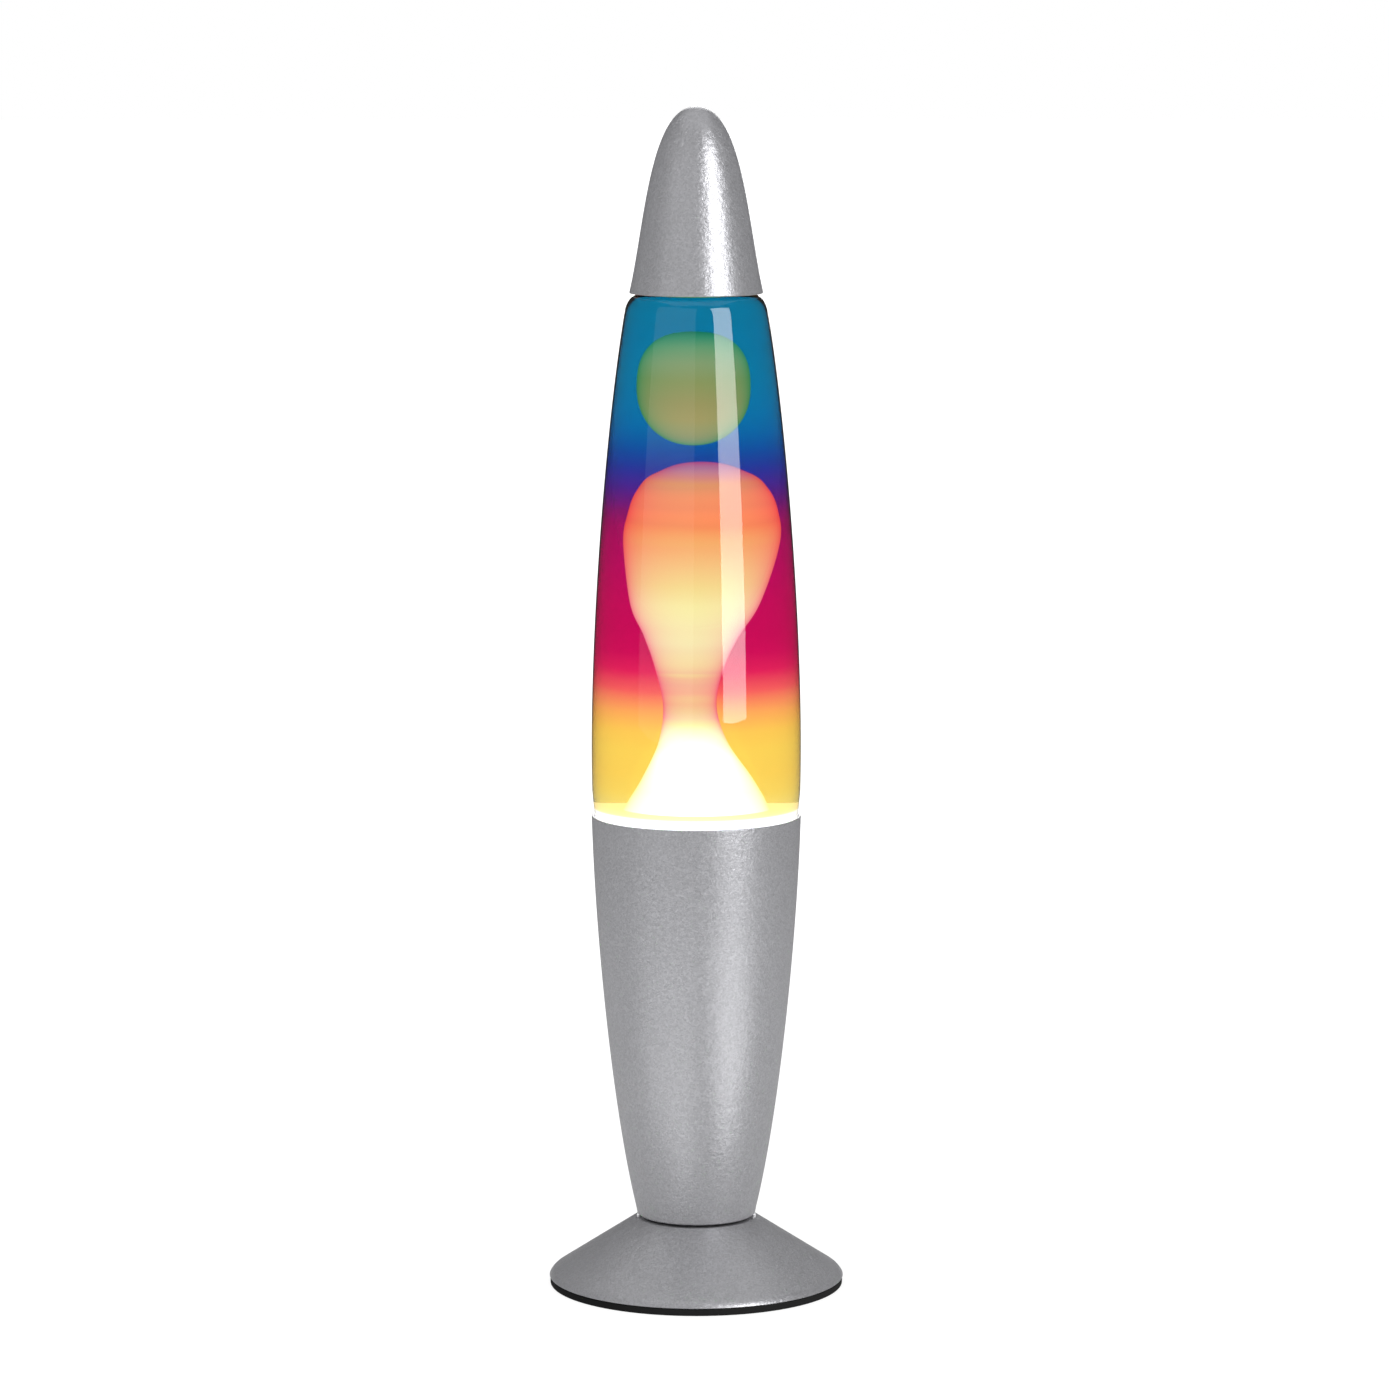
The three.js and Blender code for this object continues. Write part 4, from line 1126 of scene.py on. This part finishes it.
class LAMP_OT_gland(bpy.types.Operator):
    """Moulds the cord's gland in the back of the foot"""

    bl_idname = "lamp.gland"
    bl_label = "Cord gland"

    def execute(self, context):
        lowest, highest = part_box("cord_gland")
        inner, outer = lowest.y / MM, highest.y / MM
        grip = []
        for i in range(4):
            at = outer - 3.4 - 2.2 * i
            grip += [(5, at), (4.55, at - 0.35), (4.55, at - 0.95), (5, at - 1.3)]
        outline = (
            [(3.2, inner + 0.3), (3.5, inner), (5.7, inner), (6, inner + 0.3)]
            + [(6, inner + 1.7), (5.7, inner + 2), (5, inner + 2.2)]
            + grip[::-1]
            + [(5, outer - 2.2)]
            + sweep(4.3, outer - 0.7, 0.7, 0, 90, 4)
            + sweep(3.9, outer - 0.7, 0.7, 90, 180, 4)
        )
        bm = turned(outline, 64, closed=True)
        turn = Matrix.Rotation(-math.pi / 2, 4, "X")
        bmesh.ops.transform(bm, matrix=turn, verts=bm.verts)
        bmesh.ops.translate(bm, vec=(0, 0, GLAND_Z * MM), verts=bm.verts)
        piece("gland_moulded", bm, "base", "black_moulding", ["cord_gland"])
        return {"FINISHED"}


class LAMP_OT_lampholder(bpy.types.Operator):
    """Moulds the lampholder's dome and sleeve round the bulb's socket"""

    bl_idname = "lamp.lampholder"
    bl_label = "Lampholder"

    def execute(self, context):
        top = HOLDER + 15
        dome = (
            [(TUBE_HOLE, HOLDER), (8.5, HOLDER), (9.6, HOLDER + 1), (12.8, HOLDER + 6.5)]
            + [(13.7, HOLDER + 8.4), (14, HOLDER + 9.5), (14, top - 0.8), (13.7, top - 0.5)]
            + [(13.7, top), (12.3, top), (12.2, HOLDER + 9.5), (8, HOLDER + 4.2)]
            + [(TUBE_HOLE, HOLDER + 4.2)]
        )
        bm = turned(dome, 96, closed=True)
        piece("holder_body", bm, "base", "black_moulding", ["holder_dome"], 50)
        foot, rise = low("holder_sleeve"), high("holder_sleeve")
        ribs = []
        for i in range(6):
            z = foot + 3 + 2.6 * i
            ribs += [(14, z), (13.6, z + 0.3), (13.6, z + 1.1), (14, z + 1.4)]
        sleeve = (
            [(12.3, foot), (13.7, foot), (13.7, foot + 0.6), (14, foot + 0.9)]
            + ribs
            + [(14, rise - 8), (12.1, rise - 5.2), (11.8, rise - 4.6), (11.2, rise - 0.5)]
            + [(10.8, rise), (8.5, rise), (8.2, rise - 0.3), (8.2, rise - 5), (12.2, rise - 9)]
        )
        bm = turned(sleeve, 96, closed=True)
        piece("holder_skirt", bm, "base", "black_moulding", ["holder_sleeve"], 50)
        return {"FINISHED"}


class LAMP_OT_bulb(bpy.types.Operator):
    """Blows the reflector bulb and rolls the thread of its cap"""

    bl_idname = "lamp.bulb"
    bl_label = "Bulb"

    def execute(self, context):
        neck, top = BULB + 19, BULB + 67
        skin = (
            [(6.1, neck)]
            + bow((6.1, neck + 5), (7.1, neck + 14), (17, neck + 18), (19.5, top - 12), 20)
            + bow((19.5, top - 10.5), (19.5, top - 4.5), (11, top), (0, top), 18)
        )
        bm = turned(skin, 96)
        face_out(bm)
        glass = piece("bulb_envelope", bm, "bulb", "bulb_glass", ["bulb_glass"], 60)
        walled(glass, 0.9 * MM, 0.1 * MM)
        thread = [(6.4, BULB + 5)]
        for i in range(5):
            z = BULB + 6.2 + 2.8 * i
            thread += [(6.4, z), (6.75, z + 0.5), (6.9, z + 1.1), (6.75, z + 1.7), (6.4, z + 2.2)]
        thread += [(6.6, BULB + 20.6), (6.9, BULB + 21), (6.9, BULB + 22)]
        bm = turned(thread, 64)
        face_out(bm)
        cap = piece("bulb_thread", bm, "bulb", "bulb_cap_metal", ["bulb_cap"], 60)
        walled(cap, 0.4 * MM, 0.1 * MM)
        return {"FINISHED"}


class LAMP_OT_hardware(bpy.types.Operator):
    """Gives the clamp, wiring and contacts inside their real finishes"""

    bl_idname = "lamp.hardware"
    bl_label = "Hardware inside"

    def execute(self, context):
        repaint("zinc_steel", "bottom_plate", "plate_screw_1", "plate_screw_2", "bracket")
        repaint("zinc_steel", "earth_screw", "threaded_tube", "lower_nut", "lower_washer")
        repaint("zinc_steel", "upper_washer", "upper_nut", "wire_coil")
        repaint("brass", "earth_tag", "socket_shell", "socket_contact")
        repaint("brass", "terminal_screw_live", "terminal_screw_neutral")
        for pole in ("live", "earth", "neutral"):
            repaint("brass", f"block_screw_{pole}_1", f"block_screw_{pole}_2")
        repaint("steatite", "holder_insert")
        repaint("black_moulding", "bulb_insulator")
        repaint("block_nylon", "terminal_block")
        repaint("solder", "bulb_contact")
        repaint("bottle_glass", "bulb_stem")
        repaint("tungsten", "bulb_filament", "bulb_lead_a", "bulb_lead_b")
        repaint("liner_white", "closure_liner")
        repaint("sleeve_brown", "lead_live")
        repaint("sleeve_blue", "lead_neutral")
        repaint("sleeve_green", "lead_earth")
        return {"FINISHED"}


PIECES = (
    LAMP_OT_stage,
    LAMP_OT_cap,
    LAMP_OT_bottle,
    LAMP_OT_liquid,
    LAMP_OT_wax,
    LAMP_OT_closure,
    LAMP_OT_cup,
    LAMP_OT_foot,
    LAMP_OT_gland,
    LAMP_OT_lampholder,
    LAMP_OT_bulb,
    LAMP_OT_hardware,
)


class LAMP_PT_panel(bpy.types.Panel):
    """Sizes, colours and pieces of the lamp"""

    bl_idname = "LAMP_PT_panel"
    bl_label = "Lava Lamp"
    bl_space_type = "VIEW_3D"
    bl_region_type = "UI"
    bl_category = "Lamp"

    def draw(self, context):
        scene = context.scene
        for group in (scene.lamp_sizes, scene.lamp_colours, scene.lamp_studio):
            box = self.layout.box()
            for name in group.__annotations__:
                box.prop(group, name)
        column = self.layout.column(align=True)
        for made in PIECES:
            column.operator(made.bl_idname)


CLASSES = (LampSizes, LampColours, StudioSettings, *PIECES, LAMP_PT_panel)


def register():
    for cls in CLASSES:
        bpy.utils.register_class(cls)
    bpy.types.Scene.lamp_sizes = PointerProperty(type=LampSizes)
    bpy.types.Scene.lamp_colours = PointerProperty(type=LampColours)
    bpy.types.Scene.lamp_studio = PointerProperty(type=StudioSettings)


def unregister():
    del bpy.types.Scene.lamp_studio
    del bpy.types.Scene.lamp_colours
    del bpy.types.Scene.lamp_sizes
    for cls in reversed(CLASSES):
        bpy.utils.unregister_class(cls)


def main():
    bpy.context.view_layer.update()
    register()
    for made in PIECES:
        group, name = made.bl_idname.split(".")
        getattr(getattr(bpy.ops, group), name)()


if __name__ == "__main__":
    main()
